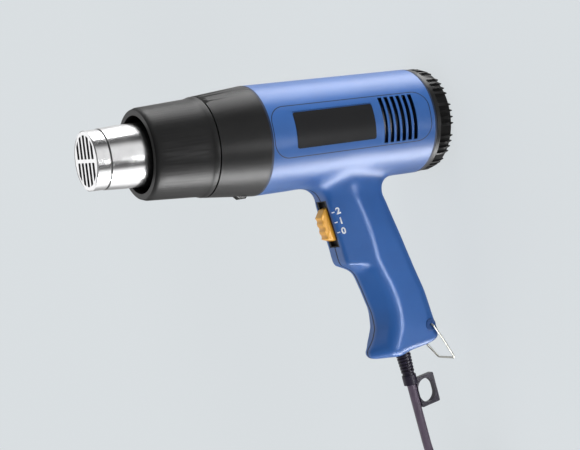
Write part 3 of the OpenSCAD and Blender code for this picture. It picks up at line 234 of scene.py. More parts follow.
# Lamps: place and aim in metres, width and height, spread in degrees, and what sees them
LAMPS = {
    "top_lamp": ((-0.3, -0.5, 1.3), (-0.03, 0.0, 0.1), (1.0, 1.0), 180.0, "all"),
    "front_fill": ((-0.10, -1.05, -0.12), (-0.03, 0.0, 0.07), (1.2, 0.4), 180.0, "matt"),
    "upper_fill": ((0.62, -0.10, 0.17), (0.0, 0.0, 0.09), (0.3, 0.3), 180.0, "matt"),
    "lower_fill": ((-0.66, -0.12, 0.17), (0.0, 0.0, 0.09), (0.3, 0.3), 180.0, "matt"),
    "upper_sheen": ((0.62, 0.06, -0.355), (0.0, 0.0, -0.355), (0.46, 0.51), 180.0, "sheen"),
    "high_sheen": ((0.62, 0.06, 0.075), (0.0, 0.0, 0.075), (0.46, 0.15), 180.0, "sheen"),
    "lower_sheen": ((-0.635, -0.12, -0.22), (0.0, 0.0, -0.22), (0.26, 0.78), 180.0, "sheen"),
    "ridge_sheen": ((-0.149, -0.329, -0.085), (-0.105, -0.015, 0.063), (0.15, 0.28), 30.0, "sheen"),
}

# Surround that shows in the tool's sheen. A dark window starts, is full, begins to end and has ended at
# four bearings in degrees from the camera's side, and takes a share of the light
WINDOWS = (
    (-54.0, -40.0, -22.0, -8.0, 0.97),
    (30.0, 54.0, 84.0, 108.0, 0.97),
    (-20.0, -8.0, 36.0, 48.0, 0.28),
)

# Bearings between which the light behind the tool fades, and behind its upper side
REAR_FADE = (120.0, 150.0)
UPPER_REAR_FADE = (-142.0, -112.0)

# Heights as the sine of the angle above the level: of the lit belt round the tool, where the loss behind the
# tool rises, and where the ceiling begins
BELT = (-0.74, -0.64, -0.16, -0.02)
REAR_RISE = (-0.36, -0.28)
CEILING = (0.2, 0.5)

# Shares of the light that the parts of the surround take away, and the strength of the two lit parts
UPPER_REAR_LOSS = 0.5
REAR_LOSS = 0.4
REAR_RISE_LOSS = 0.52
CEILING_LOSS = 0.8
WALL_IN_BELT_LOSS = 0.95
NADIR_LOSS = 0.8
BELT_LIGHT = 1.12
BEHIND_LIGHT = 0.55

# Bands of dark line on the housing, in millimetres: where the seam is full and gone, and the same for its
# ends, as distances from them
SEAM_BAND = (0.35, 0.85)
RIM_BAND = (1.7, 1.2)

# The panel's outline, a line of painted groove shade, and the painted shade in the vents' depths are drawn
# on the barrel alone, down to this X
BARREL_SIDE = -26.0

# Plastics: colour, roughness, specular level, height of the grain, mottling and index of refraction
PLASTICS = {
    "label_black": ((0.011, 0.011, 0.012), 0.42, 0.5, 0.00003, 0.06, 1.28),
    "switch_black": ((0.008, 0.008, 0.009), 0.45, 0.3),
    "bush_blue": ((0.018, 0.06, 0.20), 0.5, 0.15),
    "inner_black": ((0.012, 0.012, 0.013), 0.5, 0.3),
    "impeller_grey": ((0.10, 0.105, 0.115), 0.4),
}

# Metals: colour, roughness and fineness of the handling marks
METALS = {
    "wire_steel": ((0.40, 0.40, 0.37), 0.38, 400.0),
    "screw_steel": ((0.55, 0.55, 0.56), 0.3),
    "motor_steel": ((0.40, 0.40, 0.39), 0.5),
    "heater_wire": ((0.42, 0.39, 0.36), 0.35, 600.0),
    "blade_brass": ((0.80, 0.62, 0.30), 0.25),
}

# Soft vinyls: colour, roughness and specular level
VINYLS = {
    "relief_rubber": ((0.021, 0.017, 0.030), 0.36, 0.25),
    "lead_red": ((0.30, 0.02, 0.015), 0.4),
    "plug_black": ((0.018, 0.016, 0.02), 0.45),
}


def math_node(operation, swapped=False):
    """A Python operator that adds one math node, with the terms in their order or swapped."""

    def add(self, *others):
        terms = (*others, self) if swapped else (self, *others)
        return self.board.math(operation, *terms)

    return add


class Value:
    """A shader or geometry socket that takes part in Python sums as if it were a number."""

    def __init__(self, board, socket):
        self.board = board
        self.socket = socket

    def __neg__(self):
        return self * -1.0

    __add__ = math_node("ADD")
    __radd__ = math_node("ADD", swapped=True)
    __sub__ = math_node("SUBTRACT")
    __rsub__ = math_node("SUBTRACT", swapped=True)
    __mul__ = math_node("MULTIPLY")
    __rmul__ = math_node("MULTIPLY", swapped=True)
    __pow__ = math_node("POWER")
    __abs__ = math_node("ABSOLUTE")


class Board:
    """A node tree, filled by methods that give their nodes' outputs as values."""

    def __init__(self, tree):
        self.tree = tree
        tree.nodes.clear()

    def node(self, kind, settings=None, *values, out=0, **named):
        """Adds a node, feeds its sockets by order or by name, and gives one of its outputs."""
        made = self.tree.nodes.new(kind)
        for key, value in (settings or {}).items():
            setattr(made, key, value)
        sockets = [s for s in made.inputs if s.enabled]
        for socket, value in zip(sockets, values):
            self.feed(socket, value)
        for key, value in named.items():
            self.feed(made.inputs[key.replace("_", " ")], value)
        if not len(made.outputs):
            return made
        outs = [s for s in made.outputs if s.enabled]
        socket = made.outputs[out] if isinstance(out, str) else outs[out]
        return Value(self, socket)

    def feed(self, socket, value):
        """Links a value to a socket, or sets the socket to a plain number or colour."""
        if isinstance(value, Value):
            self.tree.links.new(value.socket, socket)
        elif hasattr(value, "__len__"):
            size = len(socket.default_value)
            socket.default_value = tuple(value)[:size] + (1.0,) * (size - len(value))
        else:
            socket.default_value = value

    def math(self, operation, *terms):
        """One math node."""
        return self.node("ShaderNodeMath", {"operation": operation}, *terms)

    def ease(self, value, low, high):
        """0 below low and 1 above high, smooth between them."""
        return self.node(
            "ShaderNodeMapRange",
            {"interpolation_type": "SMOOTHSTEP", "clamp": True},
            value, low, high, 0.0, 1.0,
        )

    def band(self, value, start, full, ending, end):
        """1 from full to ending, 0 before start and after end."""
        return self.ease(value, start, full) * (1.0 - self.ease(value, ending, end))

    def blend(self, share, first, second):
        """A colour between two."""
        return self.node("ShaderNodeMix", {"data_type": "RGBA"}, share, first, second)

    def shades(self, value, span, colour, darker, lighter):
        """A colour that wanders by shares of itself, as the value goes through a span."""
        dark = [c * (1 - darker) for c in colour]
        light = [min(1, c * (1 + lighter)) for c in colour]
        return self.blend(self.ease(value, *span), dark, light)

    def ramp(self, value, stops):
        """Colours at places between 0 and 1."""
        made = self.tree.nodes.new("ShaderNodeValToRGB")
        elements = made.color_ramp.elements
        while len(elements) < len(stops):
            elements.new(0.5)
        for element, (place, colour) in zip(elements, stops):
            element.position = place
            element.color = (*colour, 1.0)
        self.feed(made.inputs[0], value)
        return Value(self, made.outputs[0])

    def split(self, vector):
        """A vector's three values."""
        made = self.tree.nodes.new("ShaderNodeSeparateXYZ")
        self.feed(made.inputs[0], vector)
        return [Value(self, s) for s in made.outputs]


class Finish(Board):
    """A material with one main shader, which knows the shaded point's place on its piece."""

    def __init__(self, name):
        self.material = bpy.data.materials.new(name)
        self.material.use_nodes = True
        super().__init__(self.material.node_tree)
        self.spot = self.node("ShaderNodeTexCoord", out="Object")
        in_mm = self.node("ShaderNodeVectorMath", {"operation": "SCALE"}, self.spot, Scale=1 / MM)
        self.x, self.y, self.z = self.split(in_mm)

    def noise(self, scale, detail=2.0, roughness=0.5, stretch=None):
        """Cloudy values between 0 and 1, stretched along some axes where asked."""
        spot = self.node("ShaderNodeMapping", None, self.spot, Scale=stretch) if stretch else self.spot
        return self.node(
            "ShaderNodeTexNoise", None, spot, Scale=scale, Detail=detail, Roughness=roughness
        )

    def surface(self, bump=None, bump_height=0.0001, **values):
        """The main shader; bump is a height between 0 and 1 and bump_height is in metres."""
        if bump is not None:
            values["Normal"] = self.node(
                "ShaderNodeBump", None, Strength=1.0, Distance=bump_height, Height=bump
            )
        shader = self.node("ShaderNodeBsdfPrincipled", None, **values)
        self.node("ShaderNodeOutputMaterial", None, shader)
        return self.material


def look():
    """The sizes and colours that a user may change."""
    return bpy.context.scene.hot_air_tool


def moulded_plastic(name, colour, roughness, specular=0.5, grain=0.00002, mottle=0.06, ior=1.45):
    """Plain moulded plastic: fine spark grain, faint flow marks and handling sheen."""
    board = Finish(name)
    grit = board.noise(2600.0, 3.0)
    flow = board.noise(38.0, 3.0, 0.6)
    rubbed = board.noise(120.0, 4.0, 0.65)
    tone = board.shades(flow, (0.3, 0.7), colour, mottle, mottle)
    return board.surface(
        bump=grit, bump_height=grain, Base_Color=tone, Specular_IOR_Level=specular, IOR=ior,
        Roughness=roughness - 0.04 + 0.08 * rubbed,
    )


def black_trim():
    """Black plastic of the cap, the cone and the guard."""
    colour = tuple(look().trim.colour)
    return moulded_plastic("trim_black", colour, 0.36, grain=0.00004, mottle=0.12, ior=1.36)


def housing_plastic():
    """Blue housing: moulded grain, painted shade in the panel's outline groove and in the vents' depths, and
    the line where the halves meet.
    """
    sizes = look().housing
    corner = sizes.panel_corner / MM
    half_width = sizes.panel_width / MM / 2
    half_length = sizes.panel_length / MM / 2
    half_groove = sizes.groove_width / MM / 2
    board = Finish("housing_blue")
    x, y, z = board.x, board.y, board.z
    turn = board.math("ARCTAN2", x, -y)
    across = abs((turn - math.radians(PANEL_LIFT)) * BARREL_R) - (half_width - corner)
    along = abs(z - sizes.panel_middle / MM) - (half_length - corner)
    outside = (board.math("MAXIMUM", across, 0.0) ** 2.0 + board.math("MAXIMUM", along, 0.0) ** 2.0) ** 0.5
    inside = board.math("MINIMUM", board.math("MAXIMUM", across, along), 0.0)
    edge = abs(outside + inside - corner)
    on_side = board.ease(-y, 5.0, 8.0) * board.ease(x, BARREL_SIDE, BARREL_SIDE + 2.0)
    # Painted shade: the panel's outline groove is drawn as a dark line; the seam and the housing's ends
    # below are dark joints
    outline = (1.0 - board.ease(edge, half_groove * 0.5, half_groove * 1.6)) * on_side
    seam = 1.0 - board.ease(abs(y), *SEAM_BAND)
    half = (HOUSING_TOP - CAP_L) / 2
    rim = board.ease(abs(z - (CAP_L + half)), half - RIM_BAND[0], half - RIM_BAND[1])
    dark = board.math("MAXIMUM", board.math("MAXIMUM", outline, seam), rim)
    grit = board.noise(2400.0, 3.0)
    flow = board.noise(30.0, 3.0, 0.6)
    rubbed = board.noise(90.0, 4.0, 0.65)
    base = tuple(sizes.colour)
    tone = board.shades(flow, (0.3, 0.7), base, 0.04, 0.04)
    tone = board.blend(dark * 0.95, tone, [c * 0.06 for c in base])
    # Painted shade: the vents' walls turn dark from just under the barrel's surface
    painted_vent_shade = 1.0 - board.ease((x ** 2.0 + y ** 2.0) ** 0.5, BARREL_R - 0.6, BARREL_R - 0.15)
    painted_vent_shade = painted_vent_shade * board.ease(x, BARREL_SIDE, BARREL_SIDE + 4.0)
    tone = board.blend(painted_vent_shade, tone, [c * 0.08 for c in base])
    return board.surface(
        bump=grit * 0.1 - seam * 0.4, bump_height=0.00025, Base_Color=tone, Specular_IOR_Level=0.5,
        Roughness=0.33 + 0.07 * rubbed + 0.3 * dark,
    )


def bright_steel():
    """Rolled steel: fine lines round the tube, faint handling marks and painted shade in its rolled groove.
    """
    board = Finish("tube_steel")
    lines = board.noise(900.0, 2.0, 0.6, stretch=(0.03, 0.03, 1.0))
    marks = board.noise(160.0, 5.0, 0.7)
    tone = board.blend(board.ease(marks, 0.35, 0.7), (0.83, 0.83, 0.84), (0.91, 0.91, 0.915))
    # Painted shade: the rolled groove's ring is blended to near black
    groove = 1.0 - board.ease(abs(board.z - GROOVE_Z), 0.3, 0.75)
    return board.surface(
        bump=lines, bump_height=0.0000015, Metallic=1.0,
        Base_Color=board.blend(groove * 0.85, tone, (0.05, 0.05, 0.05)),
        Roughness=0.17 + 0.07 * marks + 0.3 * groove,
    )


def metal(name, colour, roughness, scale=220.0):
    """Plain metal with handling marks."""
    board = Finish(name)
    marks = board.noise(scale, 5.0, 0.65)
    return board.surface(
        bump=marks, bump_height=0.00001, Metallic=1.0,
        Base_Color=board.shades(marks, (0.35, 0.7), colour, 0.12, 0.06),
        Roughness=roughness - 0.05 + 0.12 * marks,
    )


def switch_plastic():
    """Orange slider: glossy, with faint flow marks."""
    board = Finish("slider_orange")
    flow = board.noise(150.0, 3.0, 0.6)
    grit = board.noise(2600.0, 2.0)
    return board.surface(
        bump=grit, bump_height=0.00001, Specular_IOR_Level=0.5,
        Base_Color=board.shades(flow, (0.3, 0.7), tuple(look().trim.slider_colour), 0.05, 0.04),
        Roughness=0.30 + 0.1 * flow,
    )


def vinyl(name, colour, roughness=0.42, specular=0.45):
    """Soft vinyl: fine grain and matt dust."""
    board = Finish(name)
    dust = board.noise(260.0, 4.0, 0.6)
    fine = board.noise(1800.0, 3.0)
    return board.surface(
        bump=fine, bump_height=0.00002, Specular_IOR_Level=specular,
        Base_Color=board.shades(dust, (0.3, 0.75), colour, 0.1, 0.12),
        Roughness=roughness - 0.05 + 0.12 * dust,
    )


def cord_sheath():
    """Vinyl of the power cord."""
    return vinyl("cord_rubber", tuple(look().cord.colour))


def mica_sheet():
    """Pressed mica: pale, with long flakes and small shiny specks, and painted shade that darkens it towards
    the outlet.
    """
    board = Finish("mica")
    flakes = board.noise(240.0, 6.0, 0.7, stretch=(1.0, 1.0, 0.4))
    specks = board.node("ShaderNodeTexVoronoi", None, board.spot, Scale=900.0, out="Distance")
    tone = board.ramp(
        flakes, ((0.25, (0.46, 0.38, 0.26)), (0.55, (0.68, 0.60, 0.45)), (0.8, (0.82, 0.76, 0.62)))
    )
    # Painted shade: towards the outlet the mica is blended to near black
    tone = board.blend(board.ease(board.z, 165.0, 222.0) * 0.97, tone, (0.02, 0.015, 0.012))
    return board.surface(
        bump=flakes, bump_height=0.00006, Base_Color=tone, Roughness=0.35 + 0.3 * specks
    )


def circuit_board():
    """Brown laminate with a faint weave."""
    board = Finish("board_tan")
    weave = board.node("ShaderNodeTexWave", None, board.spot, Scale=420.0, Distortion=0.4)
    cloud = board.noise(200.0, 4.0, 0.6)
    tone = board.blend(weave * 0.3 + cloud * 0.5, (0.40, 0.24, 0.09), (0.58, 0.38, 0.17))
    return board.surface(bump=weave, bump_height=0.00002, Base_Color=tone, Roughness=0.45)


def white_print():
    """Pale ink, a little worn."""
    board = Finish("white_print")
    worn = board.noise(900.0, 4.0, 0.7)
    tone = board.blend(board.ease(worn, 0.25, 0.5), (0.70, 0.74, 0.80), (0.93, 0.94, 0.95))
    return board.surface(Base_Color=tone, Roughness=0.5)


# Inner pieces that keep their solids' shape, by finish
INNER_PIECES = {
    "inner_black": ("cord_clamp", "fan_duct", "motor_end_bell", "diodes", "thermal_cutout"),
    "screw_steel": ("clamp_screws", "tube_screws"),
    "motor_steel": ("motor_can", "motor_shaft"),
    "mica": ("heater_core", "mica_sleeve"),
    "impeller_grey": ("impeller",),
    "board_tan": ("rectifier_board",),
    "lead_red": ("inner_leads",),
}

# Finishes with a function of their own
OWN_FINISHES = {
    "housing_blue": housing_plastic,
    "trim_black": black_trim,
    "tube_steel": bright_steel,
    "slider_orange": switch_plastic,
    "cord_rubber": cord_sheath,
    "board_tan": circuit_board,
    "mica": mica_sheet,
    "white_print": white_print,
}

_finishes = {}


def finish_for(name):
    """The finished material of one slot, made once."""
    if name not in _finishes:
        if name in OWN_FINISHES:
            _finishes[name] = OWN_FINISHES[name]()
        for table, maker in ((PLASTICS, moulded_plastic), (METALS, metal), (VINYLS, vinyl)):
            if name in table:
                _finishes[name] = maker(name, *table[name])
    return _finishes[name]


def paint(piece, slot):
    """Gives the piece the finished material of a slot of the record."""
    material = finish_for(slot)
    piece.data.materials.clear()
    piece.data.materials.append(material)
    for face in piece.data.polygons:
        face.material_index = 0
    return piece


def dress(node, slot):
    """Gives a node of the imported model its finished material."""
    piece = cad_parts[node]
    for place in piece.material_slots:
        place.material = finish_for(slot)
    if not piece.material_slots:
        piece.data.materials.append(finish_for(slot))
    return piece


def placed(name, data):
    """A new object in the scene."""
    piece = bpy.data.objects.new(name, data)
    bpy.context.scene.collection.objects.link(piece)
    return piece


def new_piece(name, points, faces, edges=()):
    """A new mesh from its points, faces and loose edges, in metres."""
    mesh = bpy.data.meshes.new(name)
    mesh.from_pydata([tuple(p) for p in points], list(edges), [tuple(f) for f in faces])
    mesh.update()
    return placed(name, mesh)


def drop(piece):
    """Deletes a piece with its mesh."""
    mesh = piece.data
    bpy.data.objects.remove(piece, do_unlink=True)
    if mesh.users == 0:
        bpy.data.meshes.remove(mesh)


def opened(*meshes):
    """Meshes opened for editing as one."""
    shape = bmesh.new()
    for mesh in meshes:
        shape.from_mesh(mesh)
    return shape


def written(shape, mesh):
    """Writes an edited shape to a mesh."""
    shape.to_mesh(mesh)
    shape.free()


def bake(piece):
    """Turns the piece with its modifiers into a plain mesh."""
    bpy.context.view_layer.update()
    ready = piece.evaluated_get(bpy.context.evaluated_depsgraph_get())
    mesh = bpy.data.meshes.new_from_object(ready)
    piece.modifiers.clear()
    old = piece.data
    piece.data = mesh
    mesh.name = piece.name
    if old.users == 0:
        bpy.data.meshes.remove(old)
    return piece


def soften(piece, degrees=32.0):
    """Smooth shading with sharp edges past an angle."""
    for face in piece.data.polygons:
        face.use_smooth = True
    piece.data.set_sharp_from_angle(angle=math.radians(degrees))
    return piece


def cut_away(piece, cutter):
    """Takes one closed shape out of another."""
    tool = piece.modifiers.new("cut", "BOOLEAN")
    tool.operation = "DIFFERENCE"
    tool.solver = "EXACT"
    tool.object = cutter
    bake(piece)
    drop(cutter)
    return piece


def refined(node, slot, bevel=0.0, body="tool"):
    """A merged and smooth copy of a node, with narrow rounded edges, which stands for it."""
    shape = opened(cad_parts[node].data)
    bmesh.ops.remove_doubles(shape, verts=shape.verts, dist=0.000002)
    bmesh.ops.dissolve_limit(
        shape, angle_limit=math.radians(0.6), verts=shape.verts, edges=shape.edges
    )
    mesh = bpy.data.meshes.new(node + "_finished")
    written(shape, mesh)
    piece = placed(node + "_finished", mesh)
    if bevel:
        edge = piece.modifiers.new("edges", "BEVEL")
        edge.width = bevel
        edge.segments = 2
        edge.limit_method = "ANGLE"
        edge.angle_limit = math.radians(35.0)
        bake(piece)
    soften(piece)
    paint(piece, slot)
    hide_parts(node)
    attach(piece, body)
    return piece


# Handle and barrel


def even_rows(count):
    """The handle's rows at even steps, each column on a curve that keeps to its table's bounds."""
    table = np.array(HANDLE_ROWS)
    s = table[:, 0]
    steps = np.unique(np.concatenate([np.linspace(s[0], s[-1], count), s]))
    out = [steps]
    for k in range(1, table.shape[1]):
        v = table[:, k]
        h = np.diff(s)
        d = np.diff(v) / h
        m = np.zeros(len(v))
        for i in range(1, len(v) - 1):
            if d[i - 1] * d[i] > 0:
                w1 = 2 * h[i] + h[i - 1]
                w2 = h[i] + 2 * h[i - 1]
                m[i] = (w1 + w2) / (w1 / d[i - 1] + w2 / d[i])
        m[0], m[-1] = d[0], d[-1]
        i = np.clip(np.searchsorted(s, steps, side="right") - 1, 0, len(s) - 2)
        t = (steps - s[i]) / h[i]
        out.append(
            (2 * t**3 - 3 * t**2 + 1) * v[i] + (t**3 - 2 * t**2 + t) * h[i] * m[i]
            + (-2 * t**3 + 3 * t**2) * v[i + 1] + (t**3 - t**2) * h[i] * m[i + 1]
        )
    return np.array(out).T


def row_outline(row, inset, steps):
    """One row's outline as (y, z) in millimetres, all the way round."""
    top, wide = HOUSING_TOP, GRIP_W
    circles = (
        (top * row[1] - wide * row[5], wide * row[4], wide * row[5]),
        (top * row[2], wide * (row[6] - row[7]), wide * row[7]),
        (top * row[3] + wide * row[8], 0.0, wide * row[8]),
    )
    half = [(0.0, top * row[1] - inset)]
    for i in range(steps + 1):
        a = math.pi * i / steps
        z, y, r = max(circles, key=lambda c: c[0] * math.cos(a) + c[1] * math.sin(a) + c[2])
        half.append((y + (r - inset) * math.sin(a), z + (r - inset) * math.cos(a)))
    left = [(-y, z) for y, z in half]
    right = [(y, z) for y, z in half[-2:0:-1]]
    return left + right


def skin(name, rings):
    """Closed form through rings of points, in millimetres."""
    n = len(rings[0])
    points = [(x * MM, y * MM, z * MM) for ring in rings for x, y, z in ring]
    faces = []
    for low in range(0, len(points) - n, n):
        for j in range(n):
            k = (j + 1) % n
            faces.append((low + j, low + k, low + n + k, low + n + j))
    faces.append(tuple(range(n))[::-1])
    faces.append(tuple(range(len(points) - n, len(points))))
    return new_piece(name, points, faces)


def handle_loft(name, inset, count, steps):
    """Closed skin through the handle's rows."""
    reach = HANDLE_REACH - inset
    rings = []
    for row in even_rows(count):
        x = -(BARREL_R + (reach - BARREL_R) * row[0])
        rings.append([(x, y, z) for y, z in row_outline(row, inset, steps)])
    return skin(name, rings)


def drum(name, radius, low, high, sides=180):
    """Closed cylinder along Z, in millimetres."""
    turns = [2 * math.pi * i / sides for i in range(sides)]
    ring = [(radius * math.cos(a), radius * math.sin(a)) for a in turns]
    return skin(name, [[(x, y, z) for x, y in ring] for z in (low, high)])


def outward(piece):
    """Merges what touches and turns every face outwards."""
    shape = opened(piece.data)
    bmesh.ops.remove_doubles(shape, verts=shape.verts, dist=0.000001)
    bmesh.ops.recalc_face_normals(shape, faces=shape.faces)
    written(shape, piece.data)
    return piece


def joined(name, pieces):
    """One mesh of several."""
    parts = []
    for piece in pieces:
        part = piece.data.copy()
        part.transform(piece.matrix_world)
        parts.append(part)
        drop(piece)
    mesh = bpy.data.meshes.new(name)
    written(opened(*parts), mesh)
    for part in parts:
        bpy.data.meshes.remove(part)
    return placed(name, mesh)


def moved(piece, matrix):
    """Moves a piece's points."""
    piece.data.transform(matrix)
    return piece


def at(place, degrees, axis="Y"):
    """Axes at a place (x, z) of the middle plane, in millimetres, turned about one axis."""
    middle = Matrix.Translation((place[0] * MM, 0, place[1] * MM))
    return middle @ Matrix.Rotation(math.radians(degrees), 4, axis)


def block(name, low, high):
    """Box between two corners, in millimetres."""
    across, along, up = [(a * MM, b * MM) for a, b in zip(low, high)]
    corners = [(x, y, z) for x in across for y in along for z in up]
    faces = [(0, 1, 3, 2), (4, 6, 7, 5), (0, 4, 5, 1), (2, 3, 7, 6), (0, 2, 6, 4), (1, 5, 7, 3)]
    return new_piece(name, corners, faces)


def sector(name, inner, outer, low, high, start, end, steps):
    """Part of a ring between two angles, in millimetres and degrees."""
    points = []
    for i in range(steps + 1):
        a = math.radians(start + (end - start) * i / steps)
        for r in (inner, outer):
            for z in (low, high):
                points.append((r * math.cos(a) * MM, r * math.sin(a) * MM, z * MM))
    faces = [(0, 1, 3, 2), (4 * steps, 4 * steps + 2, 4 * steps + 3, 4 * steps + 1)]
    for i in range(steps):
        a, b = 4 * i, 4 * (i + 1)
        faces += [
            (a, a + 2, b + 2, b), (a + 1, b + 1, b + 3, a + 3), (a, b, b + 1, a + 1),
            (a + 2, a + 3, b + 3, b + 2),
        ]
    return new_piece(name, points, faces)


def neighbours_mean(points, edges, weight, rounds):
    """Draws weighted points towards the mean of their neighbours."""
    counts = np.bincount(edges.ravel(), minlength=len(points)).astype(float)[:, None]
    for _ in range(rounds):
        total = np.zeros_like(points)
        np.add.at(total, edges[:, 0], points[edges[:, 1]])
        np.add.at(total, edges[:, 1], points[edges[:, 0]])
        points += (total / counts - points) * weight[:, None]
    return points


def read_rows(items, key, width, kind):
    """One property of a mesh's points or edges, as rows."""
    flat = np.zeros(len(items) * width, kind)
    items.foreach_get(key, flat)
    return flat.reshape(-1, width)


def fused_form():
    """Barrel and handle as one skin of even faces, and the handle's own surface."""
    handle = outward(handle_loft("handle_skin", 0.0, SKIN_ROWS, SKIN_STEPS))
    surface = BVHTree.FromObject(handle, bpy.context.evaluated_depsgraph_get())
    barrel = drum("barrel_skin", BARREL_R, CAP_L - SPARE, HOUSING_TOP + SPARE)
    body = joined("housing_form", [handle, barrel])
    fuse = body.modifiers.new("fuse", "REMESH")
    fuse.mode = "VOXEL"
    fuse.voxel_size = look().housing.skin_step
    fuse.use_smooth_shade = True
    return bake(body), surface


def trimmed(shape, place, out):
    """Takes all of a shape away past a plane, and gives the edges of the cut."""
    cut = bmesh.ops.bisect_plane(
        shape, geom=shape.verts[:] + shape.edges[:] + shape.faces[:], dist=1e-7,
        plane_co=place, plane_no=out, clear_outer=True,
    )
    return [e for e in cut["geom_cut"] if isinstance(e, bmesh.types.BMEdge)]


def housing_skin():
    """Barrel and handle as one moulded form, with a rounded meeting of the two."""
    body, surface = fused_form()
    mesh = body.data
    points = read_rows(mesh.vertices, "co", 3, float)
    edges = read_rows(mesh.edges, "vertices", 2, np.int64)
    radius = np.hypot(points[:, 0], points[:, 1])
    low = (CAP_L - SPARE + 1.0) * MM
    high = (HOUSING_TOP + SPARE - 1.0) * MM
    inside_ends = (points[:, 2] > low) & (points[:, 2] < high)
    off_barrel = np.abs(radius - BARREL_R * MM)
    off_handle = np.full(len(points), 1.0)
    hits = {}
    for i in np.nonzero(points[:, 0] < HANDLE_SIDE)[0]:
        hits[i], _, _, off_handle[i] = surface.find_nearest(points[i])
    on_barrel = (off_barrel < SNAP) & inside_ends & (off_handle > off_barrel)
    scale = BARREL_R * MM / np.maximum(radius, 1e-6)
    points[on_barrel, 0] *= scale[on_barrel]
    points[on_barrel, 1] *= scale[on_barrel]
    for i, spot in hits.items():
        if off_handle[i] < SNAP and not on_barrel[i]:
            points[i] = spot
    near = np.clip(1.0 - (off_barrel + off_handle) / look().housing.blend_reach, 0, 1)
    weight = MEETING[0] * near * near * (3 - 2 * near)
    weight[~inside_ends] = 0
    foot = np.clip((-points[:, 0] / MM - HANDLE_REACH + FOOT_SPAN[0]) / FOOT_SPAN[1], 0, 1)
    points = neighbours_mean(points, edges, FOOT[0] * foot, FOOT[1])
    points = neighbours_mean(points, edges, weight, MEETING[1])
    mesh.vertices.foreach_set("co", points.ravel())
    mesh.update()
    shape = opened(mesh)
    for height, sign in ((CAP_L, -1), (HOUSING_TOP, 1)):
        rim = trimmed(shape, (0, 0, height * MM), (0, 0, sign))
        bmesh.ops.edgeloop_fill(shape, edges=rim)
    written(shape, mesh)
    return body


def housing_cutters():
    """All that is taken out of the housing's form."""
    tools = []
    for side in (-90 + PANEL_LIFT, 90 - PANEL_LIFT):
        vent = sector(
            "vent", BORE_R - 1.5, BARREL_R + 1, -VENT_HALF, VENT_HALF,
            side - VENT_REACH, side + VENT_REACH, 16,
        )
        rows = [(0.0, 0.0, VENT_FIRST + i * VENT_PITCH) for i in range(VENT_COUNT)]
        tools.append(set_copies("vents", outward(vent), rows, "housing_blue"))
    long, wide = SLOT_HALF
    slot = block("slot", (-long, -wide, -SLOT_DEPTH), (long, wide, 6))
    tools.append(moved(slot, at(SLOT, -SLOT_LEAN)))
    tools.append(moved(drum("way_out", EXIT_R, -7, 6, 40), at(EXIT, -90 - EXIT_TILT)))
    tools.append(moved(drum("bush_way", BUSH_R, -20, 20, 40), at(PIVOT, 90, "X")))
    for place in screw_places():
        way = drum("screw_way", SCREW_WAY_R, SCREW_SEAT, OUTSIDE, 32)
        tools.append(moved(way, at(place, -90, "X")))
    return joined("housing_tools", [outward(tool) for tool in tools])


def label_cutter():
    """The label plate's shallow seat."""
    x, z = LABEL_MIDDLE
    wide, tall = LABEL_HALF
    plate = block("label_seat", (x - wide, -OUTSIDE, z - tall), (x + wide, -OUTSIDE / 2, z + tall))
    return cut_away(plate, drum("label_core", BARREL_R - LABEL_SINK, 50, 135))


def screw_places():
    """Screw axes as (x, z), in millimetres."""
    rows = np.array(HANDLE_ROWS)
    out, heights = BARREL_SCREWS
    places = [(BORE_R * out, HOUSING_TOP * height) for height in heights]
    for share, off in HANDLE_SCREWS:
        ridge = HOUSING_TOP * np.interp(share, rows[:, 0], rows[:, 2])
        places.append((-(BARREL_R + (HANDLE_REACH - BARREL_R) * share), ridge + GRIP_W * off))
    return places


def build_housing():
    """The moulded form, hollowed, pierced and split into its two halves."""
    body = housing_skin()
    cut_away(body, outward(handle_loft("handle_room", WALL, ROOM_ROWS, ROOM_STEPS)))
    cut_away(body, drum("barrel_room", BORE_R, CAP_L - ROOM_SPARE, HOUSING_TOP + ROOM_SPARE, 120))
    cut_away(body, housing_cutters())
    cut_away(body, label_cutter())
    for name, node, sign in (("housing_left", "left_housing", 1), ("housing_right", "right_housing", -1)):
        half = placed(name, body.data.copy())
        shape = opened(half.data)
        trimmed(shape, (0, 0, 0), (0, sign, 0))
        written(shape, half.data)
        soften(half, 38.0)
        paint(half, "housing_blue")
        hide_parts(node)
        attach(half, "tool")
    drop(body)


# Cord, wire, coils, screws and vents through geometry nodes


def new_group(name, inputs, output):
    """A node group with named inputs; gives its board and the inputs as values."""
    group = bpy.data.node_groups.new(name, "GeometryNodeTree")
    for label, kind in inputs:
        group.interface.new_socket(label, in_out="INPUT", socket_type="NodeSocket" + kind)
    group.interface.new_socket(output, in_out="OUTPUT", socket_type="NodeSocketGeometry")
    board = Board(group)
    start = group.nodes.new("NodeGroupInput")
    return board, [Value(board, s) for s in start.outputs[:len(inputs)]]


def end_group(board, shape, finish):
    """Makes a group's shape real, gives it its material and hands it out."""
    plain = board.node("GeometryNodeRealizeInstances", None, shape)
    done = board.node("GeometryNodeSetMaterial", None, Geometry=plain, Material=finish)
    board.node("NodeGroupOutput", None, done)
    return board.tree


def tube_tree(name):
    """Node group: a round tube along a chain of edges."""
    inputs = (("Line", "Geometry"), ("Radius", "Float"), ("Sides", "Int"), ("Finish", "Material"))
    board, (line, radius, sides, finish) = new_group(name, inputs, "Tube")
    curve = board.node("GeometryNodeMeshToCurve", None, line)
    ring = board.node(
        "GeometryNodeCurvePrimitiveCircle", {"mode": "RADIUS"}, Resolution=sides, Radius=radius
    )
    tube = board.node(
        "GeometryNodeCurveToMesh", None, Curve=curve, Profile_Curve=ring, Fill_Caps=True
    )
    return end_group(board, board.node("GeometryNodeSetShadeSmooth", None, tube), finish)


